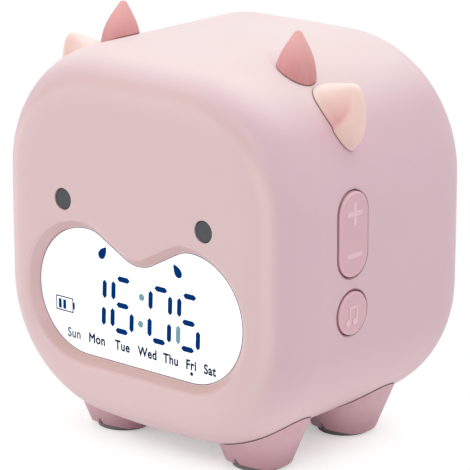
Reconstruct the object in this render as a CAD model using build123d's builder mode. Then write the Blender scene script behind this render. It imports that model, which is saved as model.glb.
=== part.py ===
from build123d import *
import os
from math import cos, radians, sin, sqrt, tan

# Kids alarm clock with a night light: a soft cube on four hooves, millimetres, +Z up.
# The origin is on the table, under the middle of the body. The display faces -Y.

os.makedirs("parts", exist_ok=True)

# --- Body shell ---------------------------------------------------------------
body_width = 100.0
body_height = 99.6
body_depth = 78.5
corner_radius = 35.0
side_radius = 1340.0  # the sides and the roof bow out a little
underside_radius = 260.0
front_edge_radius = 14.1
rear_edge_radius = 13.9
wall = 2.2
hoof_drop = 6.1  # the hooves hold the body this far above the table

half_width = body_width / 2
body_mid_z = hoof_drop + body_height / 2
body_top_z = hoof_drop + body_height
front_y = -body_depth / 2
rear_y = body_depth / 2

# --- Fits and fasteners -------------------------------------------------------
seam_gap = 0.1  # between pieces glued or plugged onto the skin
cover_gap = 0.2
thread_clearance = 0.05
pin_running_fit = 0.05
pin_seat_fit = 0.03
screw_radius = 1.1
screw_hole_gap = 0.15
small_screw_radius = 0.8
small_screw_length = 5.0
small_head_radius = 1.6
small_head_thickness = 0.9
pilot_end_gap = 0.4
boss_radius = 2.5

# --- Display recess: two round cheeks joined by a dipped top edge -------------
cheek_radius = 17.2
cheek_x = 17.65
cheek_height = 36.0  # above the underside of the body
mouth_dip = 6.8
mouth_slope = 28.0  # of the straight flanks of the dip, degrees
mouth_depth = 2.4
mouth_flank_run = 2.2
mouth_rim_fillet = 1.6
lip = 1.0
pad_width = 5.5
flange_width = 1.6
flange_gap = 0.2
flange_pocket = 0.8
flange_thickness = 1.2
window_gap = 0.15

cheek_z = hoof_drop + cheek_height
mouth_floor_y = front_y + mouth_depth
lip_back_y = mouth_floor_y + lip
pad_back_y = lip_back_y + flange_pocket
window_back_y = lip_back_y + flange_thickness

# --- Display stack and main board ---------------------------------------------
gasket = 0.2
lcd_margin = 1.2
lcd_thickness = 2.25
backlight_thickness = 2.6
display_frame_gap = 0.3
display_frame_wall = 1.6
display_frame_lip = 1.2
display_frame_lip_width = 4.0
display_ear_radius = 2.4
display_ear_thickness = 1.6
display_ear_reach = 4.55  # ear centre, beyond the side of the frame
display_ear_heights = (25.9, 48.9)  # above the underside of the body
display_frame_corner = 3.0
display_screw_length = 4.0
lcd_corner = 3.0
main_board_gap = 2.4
main_board_thickness = 1.6
main_board_width = 66.0
main_board_bottom = 8.8  # above the underside of the body
main_board_height = 59.5
main_board_upper_x = 30.0
main_board_lower_x = 28.0
main_board_corner = 3.0
board_screw_inset = 4.0
lower_screw_inset = 3.0
chip_size = 12.0
chip_thickness = 1.4
connector_width = 8.0
connector_height = 4.6
connector_depth = 5.0
connector_wall = 0.7
connector_places = [(-20.0, 14.0), (20.0, 14.0), (-20.0, -9.0), (20.0, -9.0)]

lcd_front_y = window_back_y + gasket
lcd_back_y = lcd_front_y + lcd_thickness
backlight_back_y = lcd_back_y + backlight_thickness
display_frame_back_y = backlight_back_y + display_frame_lip
display_ear_front_y = backlight_back_y - 1.4
lcd_half_width = cheek_x + cheek_radius + lcd_margin
lcd_half_height = cheek_radius + lcd_margin
display_frame_half_width = lcd_half_width + display_frame_gap + display_frame_wall
display_frame_half_height = lcd_half_height + display_frame_gap + display_frame_wall
display_ear_x = display_frame_half_width + display_ear_reach
display_ear_mid_x = (display_ear_x + display_frame_half_width) / 2
main_board_front_y = display_frame_back_y + main_board_gap
main_board_back_y = main_board_front_y + main_board_thickness
main_board_bottom_z = hoof_drop + main_board_bottom
main_board_mid_z = main_board_bottom_z + main_board_height / 2

# --- Eyes ---------------------------------------------------------------------
eye_x = 23.8
eye_rise = 24.1  # above the middle of the cheeks
eye_radius = 2.8
eye_seat_gap = 0.1
eye_sink = 0.3
eye_thickness = 1.0
eye_stem_radius = 1.5
eye_head_radius = 2.2
eye_head_thickness = 0.7
eye_edge_fillet = 0.3

eye_z = cheek_z + eye_rise

# --- Horns --------------------------------------------------------------------
horn_side_inset = 20.6  # axis, inside the widest line of the body
horn_front_inset = 28.35
horn_base_drop = 5.5  # below the top of the body
horn_radius = 5.3
horn_arc_radius = 17.0
horn_tip_angle = 31.0
horn_tip_radius = 1.2
horn_lean = 6.0  # backwards, degrees
horn_skirt = 4.0
spigot_radius = 2.0
spigot_length = 3.6
horn_spigot_rise = 3.5

horn_x = half_width - horn_side_inset
horn_y = front_y + horn_front_inset
horn_base_z = body_top_z - horn_base_drop

# --- Ears ---------------------------------------------------------------------
ear_side_inset = 8.75  # root, inside the widest line of the body
ear_root_drop = 15.2  # below the top of the body
ear_front_inset = 29.2
ear_angle = 27.0  # of the ear's axis above the horizontal, degrees
ear_length = 11.75
ear_half_chord = 9.35
ear_half_thickness = 5.3
ear_chord_power = 1.56
ear_thickness_power = 0.7
ear_chord_shift = 1.15
ear_tip_rise = 3.8
ear_section_shares = (0.0, 0.35, 0.62, 0.8, 0.91, 0.97, 0.995)
ear_root_depth = 4.0
ear_scoop_radius = 12.0
ear_scoop_floor = 3.1  # in front of the ear's middle plane
ear_scoop_reach = 3.2
ear_scoop_chord = 3.0
ear_spigot_rise = 4.0
ear_spigot_depth = 2.0

ear_root_x = half_width - ear_side_inset
ear_root_z = body_top_z - ear_root_drop
ear_y = front_y + ear_front_inset

# --- Hooves -------------------------------------------------------------------
hoof_side_inset = 26.4
hoof_front_inset = 21.85
hoof_rear_inset = 21.75
hoof_sole_radius = 8.5
hoof_flare = 0.4  # growth of the radius per millimetre of height
hoof_edge_fillet = 0.9
hoof_pad_radius = 7.0
hoof_pad_thickness = 1.4
hoof_pad_show = 0.7
cleft_width = 3.4
cleft_rise = 3.2
cleft_depth = 4.5
toe_rise = 1.2
toe_length = 3.6
hoof_boss_radius = 3.5
hoof_boss_height = 7.9  # above the underside of the body
hoof_screw_seat_z = 4.4
hoof_blank_height = 17.0
hoof_screw_length = 8.6
hoof_head_radius = 2.2
hoof_head_thickness = 1.2

hoof_x = half_width - hoof_side_inset
hoof_front_y = front_y + hoof_front_inset
hoof_rear_y = rear_y - hoof_rear_inset
hoof_boss_z = hoof_drop + hoof_boss_height
hoof_places = [
    (-hoof_x, hoof_front_y),
    (hoof_x, hoof_front_y),
    (-hoof_x, hoof_rear_y),
    (hoof_x, hoof_rear_y),
]

# --- Side keys: a rocker above a round key ------------------------------------
key_front_inset = 25.98
key_radius = 5.6
key_gap = 0.35
key_proud = 0.6
key_edge_fillet = 0.7
key_flange = 0.9
key_flange_thickness = 1.1
key_travel = 0.5
rocker_top_height = 64.1  # centres of the rocker's ends, above the underside
rocker_bottom_height = 53.45
round_key_gap = 3.75  # between the rocker's outline and the round key's
rocker_swing = 2.5  # degrees each way
rocker_wall_gap = 1.2
round_wall_gap = 0.35
pivot_drop = 1.2  # pivot axis, behind the back of the rocker's flange
barrel_radius = 1.7
pivot_ear_gap = 0.3
pivot_ear_thickness = 1.6
pivot_ear_half_height = 2.4
pivot_ear_reach = 1.7
pivot_pin_radius = 0.75
stem_radius = 1.5
switch_rest_gap = 0.1
key_board_inset = 11.5  # outer face of the board, inside the widest line
key_board_thickness = 1.2
key_board_width = 13.0
key_board_margin = 13.0  # beyond the centres of the outer switches
key_board_screw_inset = 3.0
key_board_corner = 1.0
symbol_height = 0.12  # raised signs on the keys
sign_length = 4.4
sign_width = 1.1
note_head_radius = 0.95
note_stem_width = 0.55
note_stem_height = 4.2
note_span = 2.7
note_beam_height = 0.9
lamp_radius = 1.25
lamp_ray_radius = 2.45
lamp_ray_length = 1.1
lamp_ray_width = 0.5
lamp_rays = 8
switch_size = 4.5
switch_thickness = 3.0
switch_plunger_radius = 1.2
switch_plunger_height = 0.8

key_y = front_y + key_front_inset
rocker_top_z = hoof_drop + rocker_top_height
rocker_bottom_z = hoof_drop + rocker_bottom_height
rocker_mid_z = (rocker_top_z + rocker_bottom_z) / 2
rocker_span = rocker_top_z - rocker_bottom_z
round_key_z = rocker_bottom_z - 2 * key_radius - round_key_gap
note_foot_z = round_key_z - note_stem_height / 2
note_beam_z = round_key_z + (note_stem_height - note_beam_height) / 2
key_top_x = half_width + key_proud
board_x = half_width - key_board_inset
plunger_x = board_x + switch_thickness + switch_plunger_height
rocker_flange_x = half_width - wall - rocker_wall_gap
pivot_x = rocker_flange_x - key_flange_thickness - pivot_drop
inner_corner_radius = corner_radius - wall
flange_reach = max(0, hoof_drop + corner_radius - round_key_z + key_radius + key_flange)
flange_corner_drop = inner_corner_radius - sqrt(inner_corner_radius**2 - flange_reach**2)
round_flange_x = half_width - wall - round_wall_gap - flange_corner_drop
rocker_drop = rocker_span / 2 * sin(radians(rocker_swing))
rocker_stem_x = plunger_x + rocker_drop + switch_rest_gap
round_stem_x = plunger_x + key_travel + switch_rest_gap
barrel_half_length = key_radius + key_flange
pivot_ear_inner = barrel_half_length + pivot_ear_gap
pivot_ear_outer = pivot_ear_inner + pivot_ear_thickness
pivot_ear_mid = (pivot_ear_inner + pivot_ear_outer) / 2
key_board_bottom_z = round_key_z - key_board_margin
key_board_height = rocker_top_z + key_board_margin - key_board_bottom_z
key_board_mid_z = key_board_bottom_z + key_board_height / 2
key_board_screw_zs = (
    key_board_bottom_z + key_board_screw_inset,
    key_board_bottom_z + key_board_height - key_board_screw_inset,
)

# --- Rear cover, speaker and charging socket ----------------------------------
cover_inset = 15.5
cover_thickness = 2.6
cover_ledge = 3.0
ledge_thickness = 2.0
cover_screw_inset = 4.0  # inside the cover's round corners
cover_boss_radius = 3.5
cover_boss_length = 11.6
cover_head_radius = 2.3
cover_head_thickness = 1.2
cover_head_gap = 0.3
cover_counterbore = 1.5
cover_edge_fillet = 0.5
cover_screw_length = 8.0
speaker_rise = 8.1  # above the middle of the body
speaker_radius = 18.1
speaker_rim = 1.2
speaker_depth = 10.6
speaker_magnet_radius = 9.4
speaker_ring_gap = 0.2
speaker_ring_wall = 1.4
speaker_ring_depth = 4.0
grille_radius = 14.0
grille_slot = 2.0
grille_pitch = 4.0
grille_slots = 7
usb_drop = 25.4  # below the middle of the body
usb_width = 8.94
usb_thickness = 3.26
usb_length = 7.3
usb_wall = 0.3
usb_corner = 1.5
usb_tongue_width = 6.7
usb_tongue_thickness = 0.7
usb_tongue_length = 5.0
usb_recess = 0.65
usb_opening_width = 10.0
usb_opening_thickness = 4.2
reset_hole_radius = 0.75
reset_hole_x = 12.0
charge_board_width = 20.0
charge_board_length = 16.0
charge_board_thickness = 1.2
charge_bar_width = 5.0
charge_bar_height = 2.4
charge_screw_x = 7.0
charge_screw_inset = 4.0
charge_screw_length = 3.2

cover_inner_y = rear_y - cover_thickness
rear_wall = cover_thickness + ledge_thickness
speaker_z = body_mid_z + speaker_rise
usb_z = body_mid_z - usb_drop
charge_board_top_z = usb_z - usb_thickness / 2
charge_board_bottom_z = charge_board_top_z - charge_board_thickness
charge_board_rear_y = cover_inner_y - 0.15
charge_board_mid_y = charge_board_rear_y - charge_board_length / 2
charge_screw_y = charge_board_rear_y - charge_board_length + charge_screw_inset
charge_bar_end_y = charge_screw_y - charge_bar_width / 2
charge_bar_z = charge_board_bottom_z - charge_bar_height / 2

# --- Night light and touch plate ----------------------------------------------
light_board_radius = 23.0
light_board_drop = 17.7  # underside of the board, below the top of the body
light_board_thickness = 1.2
light_boss_circle = 19.5
light_boss_radius = 2.3
led_count = 6
led_circle = 8.0
led_size = (3.5, 2.8, 0.8)
diffuser_radius = 12.0
diffuser_height = 6.8
diffuser_wall = 0.9
diffuser_flange = 1.6
diffuser_round = 4.5
diffuser_taper = 15.0
touch_plate_radius = 17.0
touch_plate_thickness = 0.3
touch_plate_gap = 0.2
touch_strip_x = 14.4
touch_strip_width = 3.0
touch_strip_thickness = 0.3
touch_strip_bow = 2.0

light_board_z = body_top_z - light_board_drop
light_board_top_z = light_board_z + light_board_thickness
touch_plate_top_z = body_top_z - wall - touch_plate_gap
touch_plate_bottom_z = touch_plate_top_z - touch_plate_thickness

# --- Battery and tray ---------------------------------------------------------
battery_size = (50.0, 30.0, 8.0)
battery_board_gap = 5.0  # between the main board and the tray
battery_gap = 1.0
battery_corner = 2.5
tray_corner = 3.0
tray_screw_length = 4.0
tray_wall = 1.4
tray_height = 9.0
tray_floor_height = 10.6  # underside of the tray, above the underside of the body
tray_tab_radius = 3.5
tray_tab_reach = 4.1

tray_z = hoof_drop + tray_floor_height
tray_length = battery_size[0] + 2 * battery_gap + 2 * tray_wall
tray_width = battery_size[1] + 2 * battery_gap + 2 * tray_wall
battery_y = main_board_back_y + battery_board_gap + tray_width / 2
tray_screw_x = tray_length / 2 + tray_tab_reach


# --- Shared shapes ------------------------------------------------------------
def front_plane(y, z=0.0):
    """A plane that faces -Y at depth y, with its origin at height z."""
    return Plane(origin=(0, y, z), x_dir=(1, 0, 0), z_dir=(0, -1, 0))


def corner_centre(rise, end_radius):
    """The centre of an upper (rise 1) or lower (rise -1) right corner, tangent to both its arcs."""
    end_z = rise * (body_height / 2 - end_radius)
    side_x = half_width - side_radius
    to_end = end_radius - corner_radius
    to_side = side_radius - corner_radius
    span = sqrt(side_x**2 + end_z**2)
    along = (to_end**2 - to_side**2 + span**2) / (2 * span)
    across = sqrt(to_end**2 - along**2)
    return (
        (along * side_x + across * abs(end_z)) / span,
        end_z - (along * end_z - rise * across * abs(side_x)) / span,
    )


def point_beyond(centre, corner, reach):
    """The point at reach from centre on the line through corner."""
    share = reach / sqrt((corner[0] - centre[0]) ** 2 + (corner[1] - centre[1]) ** 2)
    return (
        centre[0] + share * (corner[0] - centre[0]),
        centre[1] + share * (corner[1] - centre[1]),
    )


def body_outline(inset):
    """The body's front outline about its centre, moved inwards by inset: smooth arcs all round."""
    side_centre = (half_width - side_radius, 0)
    side_points = []
    with BuildSketch() as outline:
        with BuildLine():
            for rise, end_radius in ((1, side_radius), (-1, underside_radius)):
                corner = corner_centre(rise, end_radius)
                end_centre = (0, rise * (body_height / 2 - end_radius))
                end_point = point_beyond(end_centre, corner, end_radius - inset)
                side_point = point_beyond(side_centre, corner, side_radius - inset)
                side_points.append(side_point)
                corner_reach = (corner_radius - inset) * sqrt(0.5)
                corner_middle = (corner[0] + corner_reach, corner[1] + rise * corner_reach)
                ThreePointArc(
                    (-end_point[0], end_point[1]),
                    (0, rise * (body_height / 2 - inset)),
                    end_point,
                )
                for side in (-1, 1):
                    ThreePointArc(
                        (side * end_point[0], end_point[1]),
                        (side * corner_middle[0], corner_middle[1]),
                        (side * side_point[0], side_point[1]),
                    )
            for side in (-1, 1):
                ThreePointArc(
                    (side * side_points[0][0], side_points[0][1]),
                    (side * (half_width - inset), 0),
                    (side * side_points[1][0], side_points[1][1]),
                )
        make_face()
    return outline.sketch


def body_form(inset, rear_inset):
    """The rounded body as a solid, inset from the skin, its rear face by rear_inset."""
    outline = body_outline(inset)
    with BuildPart() as form:
        with BuildSketch(front_plane(front_y + inset, body_mid_z)):
            add(outline)
        extrude(amount=inset + rear_inset - body_depth)
        fillet(form.faces().sort_by(Axis.Y)[0].edges(), front_edge_radius - inset)
        fillet(form.faces().sort_by(Axis.Y)[-1].edges(), rear_edge_radius - inset)
    return form.part


def mouth_outline(grow):
    """The display's outline in X and Z, grown outwards by grow."""
    top = cheek_z + cheek_radius
    bottom = cheek_z - cheek_radius
    dip = top - mouth_dip
    slope = radians(mouth_slope)
    blend = (cheek_x * sin(slope) - mouth_dip * cos(slope)) / (2 * (1 - cos(slope)))
    run = blend * sin(slope)
    rise = blend * (1 - cos(slope))
    shoulder = (cheek_x - blend * sin(slope / 2), top - blend * (1 - cos(slope / 2)))
    with BuildSketch() as outline:
        with BuildLine():
            Line((run, dip + rise), (cheek_x - run, top - rise))
            ThreePointArc((cheek_x - run, top - rise), shoulder, (cheek_x, top))
            ThreePointArc((cheek_x, top), (cheek_x + cheek_radius, cheek_z), (cheek_x, bottom))
            mirror(about=Plane.YZ)
            ThreePointArc((-run, dip + rise), (0, dip), (run, dip + rise))
            Line((-cheek_x, bottom), (cheek_x, bottom))
        make_face()
        if grow != 0:
            offset(amount=grow)
    return outline.sketch


def screw(radius, length, head_radius, head_thickness, recess=False):
    """A pan-head screw: the underside of its head at the origin, its shank down -Z."""
    with BuildPart() as fastener:
        Cylinder(head_radius, head_thickness, align=(Align.CENTER, Align.CENTER, Align.MIN))
        fillet(fastener.faces().sort_by(Axis.Z)[-1].edges(), head_thickness * 0.4)
        Cylinder(radius, length, align=(Align.CENTER, Align.CENTER, Align.MAX))
        chamfer(fastener.faces().sort_by(Axis.Z)[0].edges(), radius * 0.4)
        if recess:
            with BuildSketch(Plane.XY.offset(head_thickness)):
                Rectangle(head_radius * 1.2, head_radius * 0.28)
                Rectangle(head_radius * 0.28, head_radius * 1.2)
            extrude(amount=-head_thickness * 0.55, mode=Mode.SUBTRACT)
    return fastener.part


def key_slot(radius):
    """The rocker's capsule outline on a side plane, about the middle of the rocker."""
    with BuildSketch() as capsule:
        SlotCenterToCenter(rocker_span, 2 * radius, rotation=90)
    return capsule.sketch


skin = body_form(0, 0)
cavity = body_form(wall, rear_wall)
rib_limit = body_form(wall / 2, wall / 2)
seam_form = body_form(-seam_gap, -seam_gap)
display_room = body_form(wall + display_frame_gap, rear_wall)

mouth = mouth_outline(0)
mouth_rim = mouth_outline(mouth_flank_run)
mouth_pad = mouth_outline(pad_width)
flange_pocket_outline = mouth_outline(flange_width + flange_gap)
rear_opening = body_outline(cover_inset - cover_gap)
ledge_opening = body_outline(cover_inset + cover_ledge)
cover_outline = body_outline(cover_inset)
window_outline = mouth_outline(-window_gap)
window_flange = mouth_outline(flange_width)

cover_screw_places = []
cover_screw_reach = (corner_radius - cover_inset - cover_screw_inset) * sqrt(0.5)
for rise, end_radius in ((1, side_radius), (-1, underside_radius)):
    corner_x, corner_z = corner_centre(rise, end_radius)
    for side in (-1, 1):
        place = (side * (corner_x + cover_screw_reach), corner_z + rise * cover_screw_reach)
        cover_screw_places.append(place)
board_screw_places = [
    (side * main_board_upper_x, main_board_bottom_z + main_board_height - board_screw_inset)
    for side in (-1, 1)
] + [
    (side * main_board_lower_x, main_board_bottom_z + lower_screw_inset) for side in (-1, 1)
]
display_ear_places = [
    (side * display_ear_x, hoof_drop + height) for side in (-1, 1) for height in display_ear_heights
]
light_screw_places = [
    (light_boss_circle * cos(radians(angle)), light_boss_circle * sin(radians(angle)))
    for angle in (90, 210, 330)
]
tray_screw_places = [(side * tray_screw_x, battery_y) for side in (-1, 1)]
charge_screw_places = [(side * charge_screw_x, charge_screw_y) for side in (-1, 1)]
eye_places = [(-eye_x, eye_z), (eye_x, eye_z)]


def horn_plane(side):
    """The base plane of a horn: its Z axis leans backwards."""
    lean = radians(horn_lean)
    return Plane(
        origin=(side * horn_x, horn_y, horn_base_z),
        x_dir=(1, 0, 0),
        z_dir=(0, sin(lean), cos(lean)),
    )


def ear_plane(reach):
    """A cross plane of the right ear, reach along its axis: X up the chord, Y to the front."""
    angle = radians(ear_angle)
    return Plane(
        origin=(ear_root_x + reach * cos(angle), ear_y, ear_root_z + reach * sin(angle)),
        x_dir=(-sin(angle), 0, cos(angle)),
        z_dir=(cos(angle), 0, sin(angle)),
    )


# --- Main shell ---------------------------------------------------------------
# What stands off the right wall, repeated on the left.
with BuildPart() as side_ribs:
    with BuildSketch(Plane.YZ.offset(board_x)):
        with Locations(*[(key_y, z) for z in key_board_screw_zs]):
            Circle(boss_radius)
    extrude(amount=key_board_inset)
    with BuildSketch(Plane.YZ.offset(pivot_x - pivot_ear_reach)):
        with Locations((key_y - pivot_ear_mid, rocker_mid_z), (key_y + pivot_ear_mid, rocker_mid_z)):
            Rectangle(pivot_ear_thickness, 2 * pivot_ear_half_height)
    extrude(amount=half_width - pivot_x + pivot_ear_reach)
    mirror(about=Plane.YZ)

# All pads, pillars and ears, trimmed so that they end inside the wall.
with BuildPart() as shell_ribs:
    with BuildSketch(front_plane(pad_back_y)):
        add(mouth_pad)
    extrude(amount=pad_back_y - front_y)
    with BuildSketch(front_plane(main_board_front_y)):
        with Locations(*board_screw_places):
            Circle(boss_radius)
    extrude(amount=main_board_front_y - front_y)
    with BuildSketch(front_plane(display_ear_front_y)):
        with Locations(*display_ear_places):
            Circle(display_ear_radius)
    extrude(amount=display_ear_front_y - front_y)
    with BuildSketch(Plane.XY.offset(light_board_top_z)):
        with Locations(*light_screw_places):
            Circle(light_boss_radius)
    extrude(amount=light_board_drop)
    with BuildSketch(Plane.XY.offset(hoof_boss_z)):
        with Locations(*hoof_places):
            Circle(hoof_boss_radius)
    extrude(amount=-hoof_boss_height)
    with BuildSketch(Plane.XY.offset(tray_z)):
        with Locations(*tray_screw_places):
            Circle(boss_radius)
    extrude(amount=-tray_floor_height)
    with BuildSketch(front_plane(cover_inner_y, body_mid_z)):
        with Locations(*cover_screw_places):
            Circle(cover_boss_radius)
    extrude(amount=cover_boss_length)
    add(side_ribs.part)
    add(rib_limit, mode=Mode.INTERSECT)

# Openings of the right side, repeated on the left.
with BuildPart() as side_cuts:
    with BuildSketch(Plane.YZ.offset(half_width - 2 * wall)):
        with Locations((key_y, rocker_mid_z)):
            add(key_slot(key_radius + key_gap))
        with Locations((key_y, round_key_z)):
            Circle(key_radius + key_gap)
    extrude(amount=3 * wall)
    with BuildSketch(front_plane(key_y)):
        with Locations((pivot_x, rocker_mid_z)):
            Circle(pivot_pin_radius + pin_seat_fit)
    extrude(amount=pivot_ear_outer, both=True)
    with BuildSketch(horn_plane(1)):
        Circle(spigot_radius + seam_gap)
    extrude(amount=3 * wall, both=True)
    with BuildSketch(ear_plane(-spigot_length)):
        Circle(spigot_radius + seam_gap)
    extrude(amount=2 * spigot_length)
    with BuildSketch(Plane.YZ.offset(board_x)):
        with Locations(*[(key_y, z) for z in key_board_screw_zs]):
            Circle(small_screw_radius + thread_clearance)
    extrude(amount=small_screw_length - key_board_thickness + pilot_end_gap)
    mirror(about=Plane.YZ)

# Pilot holes: plane, centres, screw radius and signed depth.
pilot_holes = [
    (
        front_plane(cover_inner_y, body_mid_z),
        cover_screw_places,
        screw_radius,
        cover_screw_length - cover_thickness + cover_counterbore + pilot_end_gap,
    ),
    (
        front_plane(main_board_front_y),
        board_screw_places,
        small_screw_radius,
        small_screw_length - main_board_thickness + pilot_end_gap,
    ),
    (
        front_plane(display_ear_front_y),
        display_ear_places,
        small_screw_radius,
        display_screw_length - display_ear_thickness + pilot_end_gap,
    ),
    (
        Plane.XY.offset(light_board_top_z),
        light_screw_places,
        small_screw_radius,
        small_screw_length - light_board_thickness + pilot_end_gap,
    ),
    (
        Plane.XY.offset(tray_z),
        tray_screw_places,
        small_screw_radius,
        tray_wall - tray_screw_length - pilot_end_gap,
    ),
    (
        Plane.XY,
        hoof_places,
        screw_radius,
        hoof_screw_seat_z + hoof_screw_length + pilot_end_gap,
    ),
]

with BuildPart() as main_shell:
    add(skin)
    add(cavity, mode=Mode.SUBTRACT)
    # rear opening, with the ledge that the cover sits on
    with BuildSketch(front_plane(rear_y, body_mid_z)):
        add(rear_opening)
    extrude(amount=cover_thickness, mode=Mode.SUBTRACT)
    with BuildSketch(front_plane(cover_inner_y, body_mid_z)):
        add(ledge_opening)
    extrude(amount=ledge_thickness, mode=Mode.SUBTRACT)
    add(shell_ribs.part)
    # display recess: sloped flanks down to the window, with a soft rim
    with BuildSketch(front_plane(front_y)):
        add(mouth_rim)
    with BuildSketch(front_plane(mouth_floor_y)):
        add(mouth)
    loft(ruled=True, mode=Mode.SUBTRACT)
    rim_limit_y = front_y + mouth_depth / 4
    rim_edges = main_shell.edges(Select.LAST).filter_by(lambda edge: edge.center().Y < rim_limit_y)
    fillet(rim_edges, mouth_rim_fillet)
    with BuildSketch(front_plane(mouth_floor_y)):
        add(mouth)
    extrude(amount=-lip, mode=Mode.SUBTRACT)
    with BuildSketch(front_plane(lip_back_y)):
        add(flange_pocket_outline)
    extrude(amount=-flange_pocket, mode=Mode.SUBTRACT)
    # seats and stem holes of the eyes
    with BuildSketch(front_plane(front_y)):
        with Locations(*eye_places):
            Circle(eye_radius + eye_seat_gap)
    extrude(amount=-(eye_sink + eye_thickness), mode=Mode.SUBTRACT)
    with BuildSketch(front_plane(front_y)):
        with Locations(*eye_places):
            Circle(eye_stem_radius + eye_seat_gap)
    extrude(amount=-2 * wall, mode=Mode.SUBTRACT)
    add(side_cuts.part, mode=Mode.SUBTRACT)
    for plane, places, radius, depth in pilot_holes:
        with BuildSketch(plane):
            with Locations(*places):
                Circle(radius + thread_clearance)
        extrude(amount=depth, mode=Mode.SUBTRACT)
main_shell.part.label = "main_shell"
export_step(main_shell.part, "parts/main_shell.step")

# --- Rear cover ---------------------------------------------------------------
with BuildPart() as rear_cover:
    with BuildSketch(front_plane(cover_inner_y, body_mid_z)):
        add(cover_outline)
    extrude(amount=-cover_thickness)
    fillet(rear_cover.faces().sort_by(Axis.Y)[-1].edges(), cover_edge_fillet)
    # ring that holds the speaker
    with BuildSketch(front_plane(cover_inner_y, speaker_z)):
        Circle(speaker_radius + speaker_ring_gap + speaker_ring_wall)
        Circle(speaker_radius + speaker_ring_gap, mode=Mode.SUBTRACT)
    extrude(amount=speaker_ring_depth)
    # two bars under the charging board
    with BuildSketch(front_plane(cover_inner_y)):
        with Locations(*[(side * charge_screw_x, charge_bar_z) for side in (-1, 1)]):
            Rectangle(charge_bar_width, charge_bar_height)
    extrude(amount=cover_inner_y - charge_bar_end_y)
    with BuildSketch(Plane.XY.offset(charge_board_bottom_z)):
        with Locations(*charge_screw_places):
            Circle(small_screw_radius + thread_clearance)
    extrude(amount=-charge_bar_height, mode=Mode.SUBTRACT)
    # grille, socket opening and reset hole
    with BuildSketch(front_plane(rear_y, speaker_z)):
        for row in range(grille_slots):
            height = (row - (grille_slots - 1) / 2) * grille_pitch
            with Locations((0, height)):
                SlotOverall(2 * sqrt(grille_radius**2 - height**2), grille_slot)
    extrude(amount=cover_thickness, mode=Mode.SUBTRACT)
    with BuildSketch(front_plane(rear_y, usb_z)):
        SlotOverall(usb_opening_width, usb_opening_thickness)
        with Locations((-reset_hole_x, 0)):
            Circle(reset_hole_radius)
    extrude(amount=cover_thickness, mode=Mode.SUBTRACT)
    # screw holes
    with BuildSketch(front_plane(rear_y, body_mid_z)):
        with Locations(*cover_screw_places):
            Circle(cover_head_radius + cover_head_gap)
    extrude(amount=cover_counterbore, mode=Mode.SUBTRACT)
    with BuildSketch(front_plane(rear_y, body_mid_z)):
        with Locations(*cover_screw_places):
            Circle(screw_radius + cover_gap)
    extrude(amount=cover_thickness, mode=Mode.SUBTRACT)
rear_cover.part.label = "rear_cover"
export_step(rear_cover.part, "parts/rear_cover.step")

# --- Display window, LCD, backlight and their frame ---------------------------
with BuildPart() as display_window:
    with BuildSketch(front_plane(mouth_floor_y)):
        add(window_outline)
    extrude(amount=-lip)
    with BuildSketch(front_plane(lip_back_y)):
        add(window_flange)
    extrude(amount=-flange_thickness)
display_window.part.label = "display_window"
export_step(display_window.part, "parts/display_window.step")

with BuildPart() as lcd_panel:
    with BuildSketch(front_plane(lcd_front_y, cheek_z)):
        Rectangle(2 * lcd_half_width, 2 * lcd_half_height)
    extrude(amount=-lcd_thickness)
    chamfer(lcd_panel.edges().filter_by(Axis.Y), lcd_corner)
lcd_panel.part.label = "lcd_panel"
export_step(lcd_panel.part, "parts/lcd_panel.step")

with BuildPart() as backlight_panel:
    with BuildSketch(front_plane(lcd_back_y, cheek_z)):
        Rectangle(2 * lcd_half_width, 2 * lcd_half_height)
    extrude(amount=-backlight_thickness)
    chamfer(backlight_panel.edges().filter_by(Axis.Y), lcd_corner)
backlight_panel.part.label = "backlight_panel"
export_step(backlight_panel.part, "parts/backlight_panel.step")

with BuildPart() as display_frame:
    with BuildSketch(front_plane(lcd_front_y, cheek_z)):
        RectangleRounded(2 * display_frame_half_width, 2 * display_frame_half_height, display_frame_corner)
    extrude(amount=lcd_front_y - display_frame_back_y)
    with BuildSketch(front_plane(lcd_front_y, cheek_z)):
        Rectangle(
            2 * (lcd_half_width + display_frame_gap),
            2 * (lcd_half_height + display_frame_gap),
        )
    extrude(amount=lcd_front_y - backlight_back_y, mode=Mode.SUBTRACT)
    with BuildSketch(front_plane(backlight_back_y, cheek_z)):
        Rectangle(
            2 * (lcd_half_width - display_frame_lip_width),
            2 * (lcd_half_height - display_frame_lip_width),
        )
    extrude(amount=-display_frame_lip, mode=Mode.SUBTRACT)
    # four ears on the shell's pillars
    with BuildSketch(front_plane(display_ear_front_y)):
        for side in (-1, 1):
            for height in display_ear_heights:
                with Locations((side * display_ear_x, hoof_drop + height)):
                    Circle(display_ear_radius)
                with Locations((side * display_ear_mid_x, hoof_drop + height)):
                    Rectangle(display_ear_x - display_frame_half_width, 2 * display_ear_radius)
    extrude(amount=-display_ear_thickness)
    add(display_room, mode=Mode.INTERSECT)
    with BuildSketch(front_plane(display_ear_front_y)):
        with Locations(*display_ear_places):
            Circle(small_screw_radius + screw_hole_gap)
    extrude(amount=-display_ear_thickness, mode=Mode.SUBTRACT)
display_frame.part.label = "display_frame"
export_step(display_frame.part, "parts/display_frame.step")

# --- Main board ---------------------------------------------------------------
with BuildPart() as main_board:
    with BuildSketch(front_plane(main_board_front_y, main_board_mid_z)):
        RectangleRounded(main_board_width, main_board_height, main_board_corner)
    extrude(amount=-main_board_thickness)
    with BuildSketch(front_plane(main_board_front_y)):
        with Locations(*board_screw_places):
            Circle(small_screw_radius + screw_hole_gap)
    extrude(amount=-main_board_thickness, mode=Mode.SUBTRACT)
main_board.part.label = "main_board"
export_step(main_board.part, "parts/main_board.step")

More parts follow.
